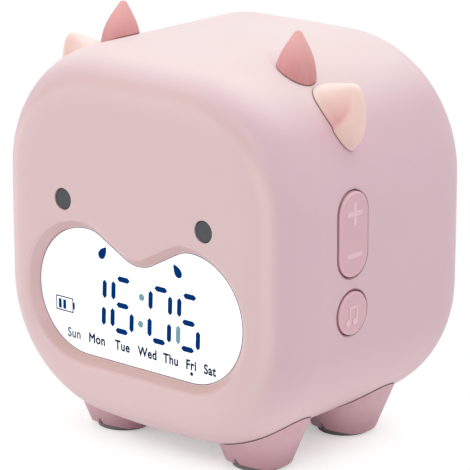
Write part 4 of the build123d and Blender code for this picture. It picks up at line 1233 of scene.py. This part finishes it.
@dataclass
class DisplayFigures:
    """What the lit display shows: the time, the days, the battery sign and two nostrils."""

    face_y: float = -36.85
    film: float = 0.03
    centre_x: float = 0.76
    middle_z: float = 40.72
    half_height: float = 6.95
    half_width: float = 3.3
    digit_pitch: float = 9.66
    colon_pitch: float = 12.76
    slant: float = 3.4
    upright_lean: float = 2.0
    left_lift: float = 0.2
    upright_offset: float = 3.64
    upright_drop: float = 0.33
    bar_length: float = 4.2
    upright_length: float = 4.9
    bar_width: float = 1.42
    bar_corner: float = 0.46
    bar_weld: float = 0.0001
    dot_radius: float = 0.9
    disc_sides: int = 28
    colon_offset: float = 3.6
    day_z: float = 29.75
    day_height: float = 2.55
    day_squeeze: float = 0.86
    day_weight: float = 0.115
    capital_share: float = 0.72
    letter_gap: float = 1.08
    letter_weld: float = 0.0001
    mark_x: float = 17.74
    mark_drop: float = 2.15
    mark_radius: float = 0.5
    nostril_x: float = 12.65
    nostril_z: float = 53.6
    nostril_shift: float = 0.4
    nostril_lean: float = 36.0
    nostril_width: float = 1.5
    nostril_height: float = 1.95
    nostril_power: float = 0.9
    nostril_sides: int = 32
    battery_box: tuple[float, float, float, float] = (-29.1, -23.0, 35.2, 39.15)
    battery_line: float = 0.3
    battery_bars: tuple[tuple[float, float, float, float], ...] = (
        (-23.0, -22.5, 36.3, 38.1),
        (-28.2, -27.2, 35.8, 38.3),
        (-26.6, -25.6, 35.8, 38.3),
    )

    LIT = {0: "bc", 1: "afgecd", 2: "abcdef", 3: "afgcd"}
    FAINT = {3: "e"}
    DAYS = (
        ("Sun", -22.8),
        ("Mon", -14.76),
        ("Tue", -5.85),
        ("Wed", 2.78),
        ("Thu", 10.74),
        ("Fri", 17.55),
        ("Sat", 23.76),
    )

    def digit_x(self, index: int) -> float:
        """The middle of one of the four digits."""
        inner = self.colon_pitch / 2
        return self.centre_x + (-inner - self.digit_pitch, -inner, inner, inner + self.digit_pitch)[index]

    def segment_places(self, index: int, letters: str) -> list[tuple[float, float, bool]]:
        """Where the segments of a digit go.

        Args:
            index: the digit, from the left.
            letters: its segments, a to g.

        Returns:
            Each segment's x, z and whether it stands upright.
        """
        upper = self.upright_offset - self.upright_drop
        lower = -self.upright_offset - self.upright_drop
        spots = {
            "a": (0, self.half_height, False),
            "g": (0, 0, False),
            "d": (0, -self.half_height, False),
            "b": (self.half_width, upper, True),
            "c": (self.half_width, lower, True),
            "f": (-self.half_width, upper + self.left_lift, True),
            "e": (-self.half_width, lower + self.left_lift, True),
        }
        lean = math.tan(math.radians(self.slant))
        placed = []
        for letter in letters:
            x, z, upright = spots[letter]
            placed.append((self.digit_x(index) + x + lean * z, self.middle_z + z, upright))
        return placed

    def all_places(self, cells: dict[int, str]) -> list[tuple[float, float, bool]]:
        """Where the segments of several digits go."""
        return [spot for index in cells for spot in self.segment_places(index, cells[index])]

    def segment_tree(self) -> bpy.types.NodeTree:
        """The Geometry Nodes tree that sets a rounded bar on each point.

        Returns:
            The tree; its inputs are the points, the bar's length, width and thickness, and a material.
        """
        tree = bpy.data.node_groups.new("display_bars", "GeometryNodeTree")
        kinds = {
            "Geometry": "Geometry",
            "Length": "Float",
            "Width": "Float",
            "Thickness": "Float",
            "Material": "Material",
        }
        for name, kind in kinds.items():
            tree.interface.new_socket(name, in_out="INPUT", socket_type=f"NodeSocket{kind}")
        tree.interface.new_socket("Geometry", in_out="OUTPUT", socket_type="NodeSocketGeometry")
        bench = NodeBench(tree)
        given = bench.node("NodeGroupInput")
        width = given.out("Width")
        sides = {"Width": given.out("Length"), "Height": width}
        outline = bench.node("GeometryNodeCurvePrimitiveQuadrilateral", values=sides)
        corners = {"Curve": outline, "Radius": width * self.bar_corner, "Count": 1}
        rounded = bench.node("GeometryNodeFilletCurve", {"mode": "POLY"}, corners)
        face = bench.node("GeometryNodeFillCurve", values={"Curve": rounded})
        lift = {"Mesh": face, "Offset Scale": given.out("Thickness"), "Individual": False}
        raised = bench.node("GeometryNodeExtrudeMesh", values=lift)
        back = bench.node("GeometryNodeFlipFaces", values={"Mesh": face})
        joined = bench.node("GeometryNodeJoinGeometry", values={0: [raised, back]})
        close = {"Geometry": joined, "Distance": self.bar_weld * MM}
        welded = bench.node("GeometryNodeMergeByDistance", values=close)
        vector = {"data_type": "FLOAT_VECTOR"}
        turn = bench.node("GeometryNodeInputNamedAttribute", vector, {"Name": "turn"}, "Attribute")
        rotation = bench.node("FunctionNodeEulerToRotation", values={"Euler": turn})
        spots = {"Points": given.out("Geometry"), "Instance": welded, "Rotation": rotation}
        placed = bench.node("GeometryNodeInstanceOnPoints", values=spots)
        real = bench.node("GeometryNodeRealizeInstances", values={"Geometry": placed})
        finish = {"Geometry": real, "Material": given.out("Material")}
        dressed = bench.node("GeometryNodeSetMaterial", values=finish)
        bench.node("NodeGroupOutput", values={0: dressed})
        return tree

    def bars(
        self, name: str, places: list[tuple[float, float, bool]], upright: bool, dress: Dress
    ) -> bpy.types.Object:
        """Makes one piece of all the bars that lie the same way.

        Args:
            name: the piece's name.
            places: x, z and whether it stands, for every bar.
            upright: which of them this piece holds.
            dress: the finish.

        Returns:
            The piece.
        """
        spots = [(x, z) for x, z, stands in places if stands == upright]
        points = bpy.data.meshes.new(name)
        points.from_pydata([(x * MM, self.face_y * MM, z * MM) for x, z in spots], [], [])
        tilt = math.radians(90 - self.upright_lean if upright else 0)
        for item in points.attributes.new("turn", "FLOAT_VECTOR", "POINT").data:
            item.vector = (math.radians(90), -tilt, 0)
        carrier = link_object(name, points)
        modifier = carrier.modifiers.new("bars", "NODES")
        modifier.node_group = bpy.data.node_groups.get("display_bars") or self.segment_tree()
        values = {
            "Length": (self.upright_length if upright else self.bar_length) * MM,
            "Width": self.bar_width * MM,
            "Thickness": self.film * MM,
            "Material": dress.value.material(),
        }
        for item in modifier.node_group.interface.items_tree:
            if item.item_type == "SOCKET" and item.in_out == "INPUT" and item.name in values:
                modifier[item.identifier] = values[item.name]
        flat = flat_mesh(carrier)
        carrier.modifiers.remove(modifier)
        carrier.data = flat
        return set_piece(carrier, Body.HOUSING, dress)

    def at_depth(self, outline: Outline, depth: float) -> list[Vector]:
        """An outline's points at that height above the display's face."""
        return [Vector((x, self.face_y - depth, z)) * MM for x, z in outline]

    def add_plate(self, shape: bmesh.types.BMesh, outline: Outline) -> None:
        """Adds a flat plate of that outline, x and z."""
        add_prism(shape, self.at_depth(outline, self.film), self.at_depth(outline, 0.0))

    def set_plates(self, name: str, shape: bmesh.types.BMesh, dress: Dress) -> bpy.types.Object:
        """Makes the plates of a shape one piece of the display."""
        return set_piece(finish_mesh(name, shape), Body.HOUSING, dress)

    def plates(self, name: str, outlines: list[Outline], dress: Dress) -> bpy.types.Object:
        """Makes one piece of flat plates on the display's face.

        Args:
            name: the piece's name.
            outlines: the corners of each plate, x and z, in order.
            dress: the finish.

        Returns:
            The piece.
        """
        shape = bmesh.new()
        for outline in outlines:
            self.add_plate(shape, outline)
        return self.set_plates(name, shape, dress)

    def disc(self, x: float, z: float, radius: float) -> Outline:
        """The corners of a round plate."""
        turns = [2 * math.pi * step / self.disc_sides for step in range(self.disc_sides)]
        return [(x + radius * math.cos(turn), z + radius * math.sin(turn)) for turn in turns]

    def nostril(self, side: Side) -> Outline:
        """A nostril: round below and drawn to a point above, towards the middle.

        Args:
            side: which of the two it is.

        Returns:
            Its corners.
        """
        corners = []
        sign = side.value
        lean = math.radians(self.nostril_lean) * sign
        for step in range(self.nostril_sides):
            turn = 2 * math.pi * step / self.nostril_sides
            width = self.nostril_width * math.sin(turn) * math.sin(turn / 2) ** self.nostril_power
            height = self.nostril_height * math.cos(turn)
            x = width * math.cos(lean) - height * math.sin(lean)
            z = width * math.sin(lean) + height * math.cos(lean)
            corners.append((sign * self.nostril_x + self.nostril_shift + x, self.nostril_z + z))
        return corners

    def battery_sign(self) -> bpy.types.Object:
        """Makes the battery sign: a thin frame, its nub and two bars.

        Returns:
            The piece.
        """
        left, right, low, high = self.battery_box
        line = self.battery_line
        outer = rectangle(left, right, low, high)
        inner = rectangle(left + line, right - line, low + line, high - line)
        shape = bmesh.new()
        sections = ((outer, 0.0), (outer, self.film), (inner, self.film), (inner, 0.0))
        close_band(shape, [self.at_depth(outline, depth) for outline, depth in sections])
        for bar in self.battery_bars:
            self.add_plate(shape, rectangle(*bar))
        return self.set_plates("battery_sign", shape, Dress.INK)

    def day_name(self, text: str, x: float, dress: Dress) -> bpy.types.Object:
        """Sets one day's short name as a thin plate of letters.

        Args:
            text: the letters.
            x: the middle of the name.
            dress: the finish.

        Returns:
            The piece.
        """
        name = f"day_{text.lower()}"
        curve = bpy.data.curves.new(name, "FONT")
        curve.body = text
        curve.align_x = "CENTER"
        curve.align_y = "CENTER"
        curve.size = self.day_height / self.capital_share * MM
        curve.space_character = self.letter_gap
        curve.bevel_depth = self.day_weight * MM
        curve.bevel_resolution = 1
        letters = link_object(name, curve)
        mesh = flat_mesh(letters)
        bpy.data.objects.remove(letters)
        lift = Matrix.Translation((x * MM, (self.face_y - self.film / 2) * MM, self.day_z * MM))
        squeeze = Matrix.Diagonal((self.day_squeeze, 1, self.film / 2 / self.day_weight, 1))
        mesh.transform(lift @ Matrix.Rotation(math.radians(90), 4, "X") @ squeeze)
        shape = bmesh.new()
        shape.from_mesh(mesh)
        bmesh.ops.remove_doubles(shape, verts=shape.verts, dist=self.letter_weld * MM)
        return self.set_plates(name, shape, dress)

    def make(self) -> list[bpy.types.Object]:
        """Makes every figure of the display.

        Returns:
            The pieces.
        """
        lit = self.all_places(self.LIT)
        lean = math.tan(math.radians(self.slant)) * self.colon_offset
        dots = [
            self.disc(self.centre_x + step * lean, self.middle_z + step * self.colon_offset, self.dot_radius)
            for step in (-1, 1)
        ]
        pieces = [
            self.bars("time_bars", lit, False, Dress.INK),
            self.bars("time_uprights", lit, True, Dress.INK),
            self.bars("time_faint_upright", self.all_places(self.FAINT), True, Dress.FAINT_INK),
            self.plates("time_colon", dots, Dress.FAINT_INK),
        ]
        for text, x in self.DAYS:
            pieces.append(self.day_name(text, x, Dress.FAINT_DAY_INK if text == "Sun" else Dress.DAY_INK))
        marker = self.disc(self.mark_x, self.day_z - self.mark_drop, self.mark_radius)
        pieces.append(self.plates("day_mark", [marker], Dress.DAY_INK))
        pieces.append(self.battery_sign())
        nostrils = [self.nostril(Side.LEFT), self.nostril(Side.RIGHT)]
        pieces.append(self.plates("nostrils", nostrils, Dress.INK))
        return pieces


@dataclass
class WindowSeam:
    """The shaded line where the window meets the floor of the recess."""

    window: bpy.types.Object
    width: float = 0.26
    lift: float = 0.012
    weld: float = 0.001
    level: float = 0.02

    def rim(self) -> list[Vector]:
        """Walks round the window's front face.

        Returns:
            The points of its edge, in order.
        """
        copy = bmesh.new()
        copy.from_mesh(self.window.data)
        bmesh.ops.remove_doubles(copy, verts=copy.verts, dist=self.weld * MM)
        limit = min(vertex.co.y for vertex in copy.verts) + self.level * MM
        front = {face for face in copy.faces if all(vertex.co.y < limit for vertex in face.verts)}
        beside: dict[bmesh.types.BMVert, list[bmesh.types.BMVert]] = {}
        for edge in copy.edges:
            if sum(face in front for face in edge.link_faces) == 1:
                first, last = edge.verts
                beside.setdefault(first, []).append(last)
                beside.setdefault(last, []).append(first)
        start = next(iter(beside))
        loop = [start]
        previous, current = start, beside[start][0]
        while current is not start:
            loop.append(current)
            ahead = [vertex for vertex in beside[current] if vertex is not previous]
            previous, current = current, ahead[0]
        points = [vertex.co.copy() for vertex in loop]
        copy.free()
        return points

    def make(self) -> list[bpy.types.Object]:
        """Lays a thin band inside the window's edge.

        Returns:
            The piece, alone in a list.
        """
        outer = self.rim()
        area = sum(a.x * b.z - b.x * a.z for a, b in zip(outer, outer[1:] + outer[:1]))
        if area < 0:
            outer.reverse()
        inner = []
        for index, point in enumerate(outer):
            along = outer[(index + 1) % len(outer)] - outer[index - 1]
            inward = Vector((-along.z, 0, along.x)).normalized()
            inner.append(point + inward * self.width * MM)
        raised = Vector((0, -self.lift * MM, 0))
        shape = bmesh.new()
        tops = [[point + raised for point in loop] for loop in (outer, inner)]
        close_band(shape, [outer, *tops, inner])
        piece = finish_mesh("window_seam", shape)
        return [set_piece(piece, Body.HOUSING, Dress.WINDOW_SEAM)]


@dataclass
class Ear:
    """One ear: elliptic sections along a leaning axis, with a soft dent in its front face."""

    side: Side
    root_x: float = 41.25
    root_y: float = -10.05
    root_z: float = 90.5
    angle: float = 27.0
    length: float = 11.75
    half_chord: float = 9.35
    half_thickness: float = 5.3
    chord_power: float = 1.56
    thickness_power: float = 0.7
    chord_shift: float = 1.15
    tip_rise: float = 3.8
    tip_power: int = 4
    skin_gap: float = 0.06
    skin_rounds: int = 12
    dent_depth: float = 1.1
    crease_low: float = -3.1
    crease_slope: float = 0.3
    crease_turn: float = 4.2
    crease_reach: float = 10.2
    crease_power: int = 6
    crease_soft: float = 2.1
    root_rim: float = 1.6
    root_share: float = 0.45
    dent_top: float = 10.0
    dent_fade: float = 11.0
    dent_power: int = 3
    dent_tint_and_shade_chord: float = 7.5
    dent_tint_and_shade_fade: float = 7.0
    turns: int = 96
    rings: int = 40

    def section(self, reach: float, turn: float) -> tuple[float, float]:
        """A point of the section at reach along the axis.

        Args:
            reach: how far out the section is.
            turn: the angle round it, from the upper end of its chord to the front.

        Returns:
            Its place along the chord and its place to the front.
        """
        share = clamp(reach / self.length)
        shift = self.chord_shift + self.tip_rise * share ** self.tip_power
        chord = self.half_chord * math.sqrt(1 - share ** self.chord_power)
        thickness = self.half_thickness * math.sqrt(1 - share ** self.thickness_power)
        return shift + chord * math.cos(turn), thickness * math.sin(turn)

    def root_reach(self, turn: float) -> float:
        """How far along the axis the ear leaves the body's round corner.

        Args:
            turn: the angle round the section.

        Returns:
            The reach, found by going between the section and the corner a few times.
        """
        lean = math.radians(self.angle)
        radius = FORM.corner_radius + self.skin_gap
        reach = 0.0
        for _ in range(self.skin_rounds):
            chord, _ = self.section(reach, turn)
            out = self.root_x - FORM.corner_x - chord * math.sin(lean)
            up = self.root_z - FORM.upper_corner_z + chord * math.cos(lean)
            along = out * math.cos(lean) + up * math.sin(lean)
            reach = -along + math.sqrt(along * along - out * out - up * up + radius * radius)
        return reach

    def dent(self, reach: float, chord: float) -> float:
        """How deep the dent is at a point.

        Args:
            reach: how far out the point is.
            chord: its place along the chord.

        Returns:
            The share of its depth, 1 just above its crease and 0 outside it.
        """
        reach = max(reach, 0.0)
        bend = self.crease_turn * (reach / self.crease_reach) ** self.crease_power
        above = chord - (self.crease_low + self.crease_slope * reach + bend)
        fade = clamp((self.dent_top - chord) / self.dent_fade)
        outward = max(0.0, 1 - (reach / self.length) ** self.dent_power)
        return smooth(clamp(above / self.crease_soft)) * fade * outward

    def spot(self, reach: float, chord: float, front: float) -> Vector:
        """A point of the ear in the shared frame.

        Args:
            reach: how far out it is.
            chord: its place along the chord.
            front: its place to the front.

        Returns:
            The point, in metres.
        """
        lean = math.radians(self.angle)
        x = self.root_x + reach * math.cos(lean) - chord * math.sin(lean)
        z = self.root_z + reach * math.sin(lean) + chord * math.cos(lean)
        return Vector((self.side.value * x * MM, (self.root_y - front) * MM, z * MM))

    def ring(self, share: float) -> list[tuple[Vector, float]]:
        """One ring of the ear's skin.

        Args:
            share: how far out it is, from 0 at the body to 1 at the ear's end.

        Returns:
            Each point, in metres, and its share of the dent's tint and painted shade, from 0 to 1.
        """
        points = []
        for step in range(self.turns):
            turn = 2 * math.pi * step / self.turns
            root = self.root_reach(turn)
            reach = root + (self.length - root) * share
            chord, front = self.section(reach, turn)
            dent = self.dent(reach, chord) * math.sqrt(max(0.0, math.sin(turn)))
            near = min((reach - root) / self.root_rim, 1.0)
            front -= dent * self.dent_depth * (self.root_share + (1 - self.root_share) * near)
            # the share of the dent's tint and painted shade at this point
            blush = dent * clamp((self.dent_tint_and_shade_chord - chord) / self.dent_tint_and_shade_fade)
            points.append((self.spot(reach, chord, front), blush))
        return points

    def make(self) -> list[bpy.types.Object]:
        """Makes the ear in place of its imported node.

        Returns:
            The piece, alone in a list.
        """
        shape = bmesh.new()
        layer = shape.verts.layers.float.new("blush")
        rings = []
        for index in range(self.rings):
            row = []
            for point, blush in self.ring(math.sin(math.pi / 2 * index / self.rings)):
                row.append(shape.verts.new(point))
                row[-1][layer] = blush
            rings.append(row)
        tip = shape.verts.new(self.spot(self.length, *self.section(self.length, 0.0)))
        for row, after in zip(rings, rings[1:]):
            bridge(shape, row, after)
        last = rings[-1]
        for first, second in zip(last, last[1:] + last[:1]):
            shape.faces.new((first, second, tip))
        for face in shape.faces:
            face.smooth = True
        shape.faces.new(rings[0])
        piece = finish_mesh(f"ear_{self.side.word}_soft", shape)
        set_piece(piece, Body.HOUSING, Dress.EAR)
        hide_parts(f"ear_{self.side.word}")
        return [piece]


@dataclass(frozen=True)
class KeyPlaces:
    """The centres of the keys on either side."""

    y: float = -13.27
    plus_z: float = 70.2
    minus_z: float = 59.55
    round_z: float = 44.6


KEYS = KeyPlaces()


@dataclass
class KeySeams:
    """The shaded lines round the openings that one side's keys sit in."""

    side: Side
    shell: bpy.types.Object
    opening_radius: float = 5.97
    width: float = 0.24
    lift: float = 0.012
    outside: float = 60.0
    turns: int = 48

    def outline(self, low: float, high: float, radius: float) -> Outline:
        """The points of a slot's edge.

        Args:
            low: the height of its lower end's centre.
            high: the height of its upper end's centre.
            radius: the radius of both ends.

        Returns:
            Each point's y and z.
        """
        points = []
        for step in range(2 * self.turns):
            turn = math.pi * (step + 0.5) / self.turns
            centre = high if step < self.turns else low
            points.append((KEYS.y + radius * math.cos(turn), centre + radius * math.sin(turn)))
        return points

    def ring(self, shape: bmesh.types.BMesh, skin: BVHTree, low: float, high: float) -> None:
        """Lays one closed band on the shell's skin, round a slot.

        Args:
            shape: the shape to add to.
            skin: the shell's faces.
            low: the height of the slot's lower end's centre.
            high: the height of its upper end's centre.
        """
        inner = self.outline(low, high, self.opening_radius)
        outer = self.outline(low, high, self.opening_radius + self.width)
        loops: list[list[Vector]] = [[], [], [], []]
        lift = Vector((self.side.value * self.lift * MM, 0, 0))
        for (near_y, near_z), (far_y, far_z) in zip(inner, outer):
            start = Vector((self.side.value * self.outside, far_y, far_z)) * MM
            hit = skin.ray_cast(start, Vector((-self.side.value, 0, 0)))[0]
            near = Vector((hit.x, near_y * MM, near_z * MM))
            for loop, point in zip(loops, (near - lift, near + lift, hit + lift, hit - lift)):
                loop.append(point)
        close_band(shape, loops)

    def make(self) -> list[bpy.types.Object]:
        """Makes the bands of the rocker's and the round key's openings as one piece.

        Returns:
            The piece, alone in a list.
        """
        skin = BVHTree.FromObject(self.shell, bpy.context.evaluated_depsgraph_get())
        shape = bmesh.new()
        self.ring(shape, skin, KEYS.minus_z, KEYS.plus_z)
        self.ring(shape, skin, KEYS.round_z, KEYS.round_z)
        piece = finish_mesh(f"{self.side.word}_key_seams", shape)
        return [set_piece(piece, Body.HOUSING, Dress.KEY_SEAM)]


@dataclass
class RockerSigns:
    """The raised plus and minus on one rocker key."""

    side: Side
    half_length: float = 3.0
    half_width: float = 0.66
    base_x: float = 50.55
    top_x: float = 50.73
    slope: float = 0.1

    def plus(self, length: float, width: float) -> Outline:
        """The corners of a plus about its middle.

        Args:
            length: half its size.
            width: half the width of its arms.

        Returns:
            The corners, in order.
        """
        corners = []
        arm = [(length, -width), (length, width), (width, width)]
        for _ in range(4):
            corners += arm
            arm = [(-z, y) for y, z in arm]
        return corners

    def minus(self, length: float, width: float) -> Outline:
        """The corners of a minus about its middle."""
        return rectangle(-length, length, -width, width)

    def make(self) -> list[bpy.types.Object]:
        """Makes both signs as one piece.

        Returns:
            The piece, alone in a list.
        """
        shape = bmesh.new()
        for draw, height in ((self.plus, KEYS.plus_z), (self.minus, KEYS.minus_z)):
            ends = []
            for x, trim in ((self.base_x, 0.0), (self.top_x, self.slope)):
                out = self.side.value * x * MM
                corners = draw(self.half_length - trim, self.half_width - trim)
                ends.append([Vector((out, (KEYS.y + y) * MM, (height + z) * MM)) for y, z in corners])
            add_prism(shape, *ends)
        piece = finish_mesh(f"{self.side.word}_rocker_signs", shape)
        return [set_piece(piece, self.side.rocker, Dress.KEY)]


# --- Stage --------------------------------------------------------------------
@dataclass(frozen=True)
class SoftBox:
    """A square soft light that points at the clock: metres, watts and a linear colour."""

    name: str
    place: Triple
    side: float
    power: float
    colour: Triple
    aim: Triple = (0.0, 0.0, 0.05)

    def hang(self) -> None:
        """Adds the light to the scene."""
        data = bpy.data.lights.new(self.name, "AREA")
        data.size = self.side
        data.energy = self.power
        data.color = self.colour
        turned = (Vector(self.aim) - Vector(self.place)).to_track_quat("-Z", "Y").to_matrix().to_4x4()
        link_object(self.name, data).matrix_world = Matrix.Translation(self.place) @ turned


@dataclass
class Studio:
    """The floor, the lights and the camera; the floor's size and the clipping are in metres."""

    azimuth: float = 40.57
    elevation: float = 15.97
    roll: float = -0.04
    shift: tuple[float, float] = (-0.38, 3.08)
    distance: float = 728.28
    focal_pixels: float = 2787.14
    frame_pixels: float = 470.0
    sensor: float = 36.0
    clipping: Span = (0.01, 20.0)
    aim_z: float = 55.7
    floor_size: float = 6.0
    floor_glow: float = 0.38
    floor_tones: tuple[Colour, Colour] = (tone(248, 252, 251), tone(242, 247, 246))
    floor_light: Colour = tone(252, 254, 253)
    floor_rough: float = 0.9
    fibre_size: float = 0.02
    fibre_detail: float = 3.0
    fibre_share: float = 0.3
    shade_half_width: float = 50.0
    shade_half_depth: float = 40.0
    shade_fade: Span = (0.5, 1.08)
    sky: float = 0.55
    lamps: tuple[SoftBox, ...] = (
        SoftBox("ceiling_box", (0.15, 0.2, 1.3), 1.3, 7.5, (1.0, 0.995, 0.985)),
        SoftBox("front_box", (-0.9, -1.1, 0.75), 1.0, 7.0, (1.0, 0.985, 0.975)),
        SoftBox("side_box", (1.5, -0.1, 0.5), 0.8, 3.0, (0.97, 0.97, 1.0)),
    )

    def camera(self) -> None:
        """Sets the camera."""
        turn, rise, roll = (math.radians(a) for a in (self.azimuth, self.elevation, self.roll))
        out = math.cos(rise)
        back = Vector((math.sin(turn) * out, -math.cos(turn) * out, math.sin(rise)))
        level = Vector((math.cos(turn), math.sin(turn), 0))
        upright = back.cross(level)
        right = level * math.cos(roll) + upright * math.sin(roll)
        up = upright * math.cos(roll) - level * math.sin(roll)
        aim = Vector((0, 0, self.aim_z)) - right * self.shift[0] - up * self.shift[1]
        data = bpy.data.cameras.new("display_view")
        data.sensor_width = self.sensor
        data.lens = self.sensor * self.focal_pixels / self.frame_pixels
        data.clip_start, data.clip_end = self.clipping
        camera = link_object("display_view", data)
        turned = Matrix((right, up, back)).transposed().to_4x4()
        camera.matrix_world = Matrix.Translation((aim + back * self.distance) * MM) @ turned
        bpy.context.scene.camera = camera

    def background_ray(self, bench: NodeBench) -> Signal:
        """Tells the rays that show the background: the camera's, a reflection's or one through glass.

        Args:
            bench: the nodes of the floor or the world.

        Returns:
            1 for such a ray and 0 for any other.
        """
        path = bench.node("ShaderNodeLightPath")
        seen = bench.maths("MAXIMUM", path.out("Is Camera Ray"), path.out("Is Glossy Ray"))
        return bench.maths("MAXIMUM", seen, path.out("Is Transmission Ray"))

    def floor_paper(self) -> bpy.types.Material:
        """The floor's white, which turns plain away from the clock for what sees it straight.

        Returns:
            The material.
        """
        bench = MaterialBench("floor_paper")
        x, y, _ = bench.axes(bench.place())
        across = x / (self.shade_half_width * MM)
        away = across.squared_off(y / (self.shade_half_depth * MM)).step(self.shade_fade)
        fibres = bench.noise(self.fibre_size, self.fibre_detail) * self.fibre_share
        paper = {
            "Base_Color": bench.mix(fibres, *self.floor_tones),
            "Roughness": self.floor_rough,
            "Specular_IOR_Level": 0.0,
        }
        plain = bench.shader(**paper)
        bright = bench.shader(**paper, Emission_Color=self.floor_light, Emission_Strength=self.floor_glow)
        white = bench.node("ShaderNodeEmission", values={"Color": (1, 1, 1, 1), "Strength": 1.0})
        shown = bench.node("ShaderNodeMixShader", values={0: away, 1: bright, 2: white})
        mixed = {0: self.background_ray(bench), 1: plain, 2: shown}
        return bench.close(bench.node("ShaderNodeMixShader", values=mixed))

    def floor(self) -> bpy.types.Object:
        """Lays the white floor.

        Returns:
            The floor.
        """
        half = self.floor_size / 2
        mesh = bpy.data.meshes.new("floor")
        corners = [(x, y, 0) for x, y in rectangle(-half, half, -half, half)]
        mesh.from_pydata(corners, [], [(0, 1, 2, 3)])
        mesh.materials.append(self.floor_paper())
        floor = link_object("floor", mesh)
        return floor

    def world(self) -> None:
        """Surrounds the scene with even light, white where the camera sees it."""
        world = bpy.data.worlds.new("studio")
        world.use_nodes = True
        bench = NodeBench(world.node_tree)
        strength = self.background_ray(bench) * (1 - self.sky) + self.sky
        sky = bench.node("ShaderNodeBackground", values={"Color": (1, 1, 1, 1), "Strength": strength})
        bench.node("ShaderNodeOutputWorld", values={"Surface": sky})
        bpy.context.scene.world = world

    def make(self) -> list[bpy.types.Object]:
        """Sets the whole stage.

        Returns:
            The floor, alone in a list.
        """
        self.world()
        floor = self.floor()
        for lamp in self.lamps:
            lamp.hang()
        self.camera()
        return [floor]


def main() -> None:
    """Loads the frame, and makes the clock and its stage."""
    logging.basicConfig(level=logging.INFO, format="%(name)s: %(message)s")
    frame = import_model()
    bpy.context.scene.view_settings.view_transform = "Standard"
    nodes = frame["nodes"]
    assemblies: list[Assembly] = [
        PackedPieces(nodes),
        DisplayFigures(),
        WindowSeam(nodes["display_window"]),
        *(Ear(side) for side in Side),
        *(KeySeams(side, nodes["main_shell"]) for side in Side),
        *(RockerSigns(side) for side in Side),
        Studio(),
    ]
    for assembly in assemblies:
        for piece in assembly.make():
            finish = piece.data.materials[0].name
            LOG.info("%s: %d faces in %s", piece.name, len(piece.data.polygons), finish)


if __name__ == "__main__":
    main()
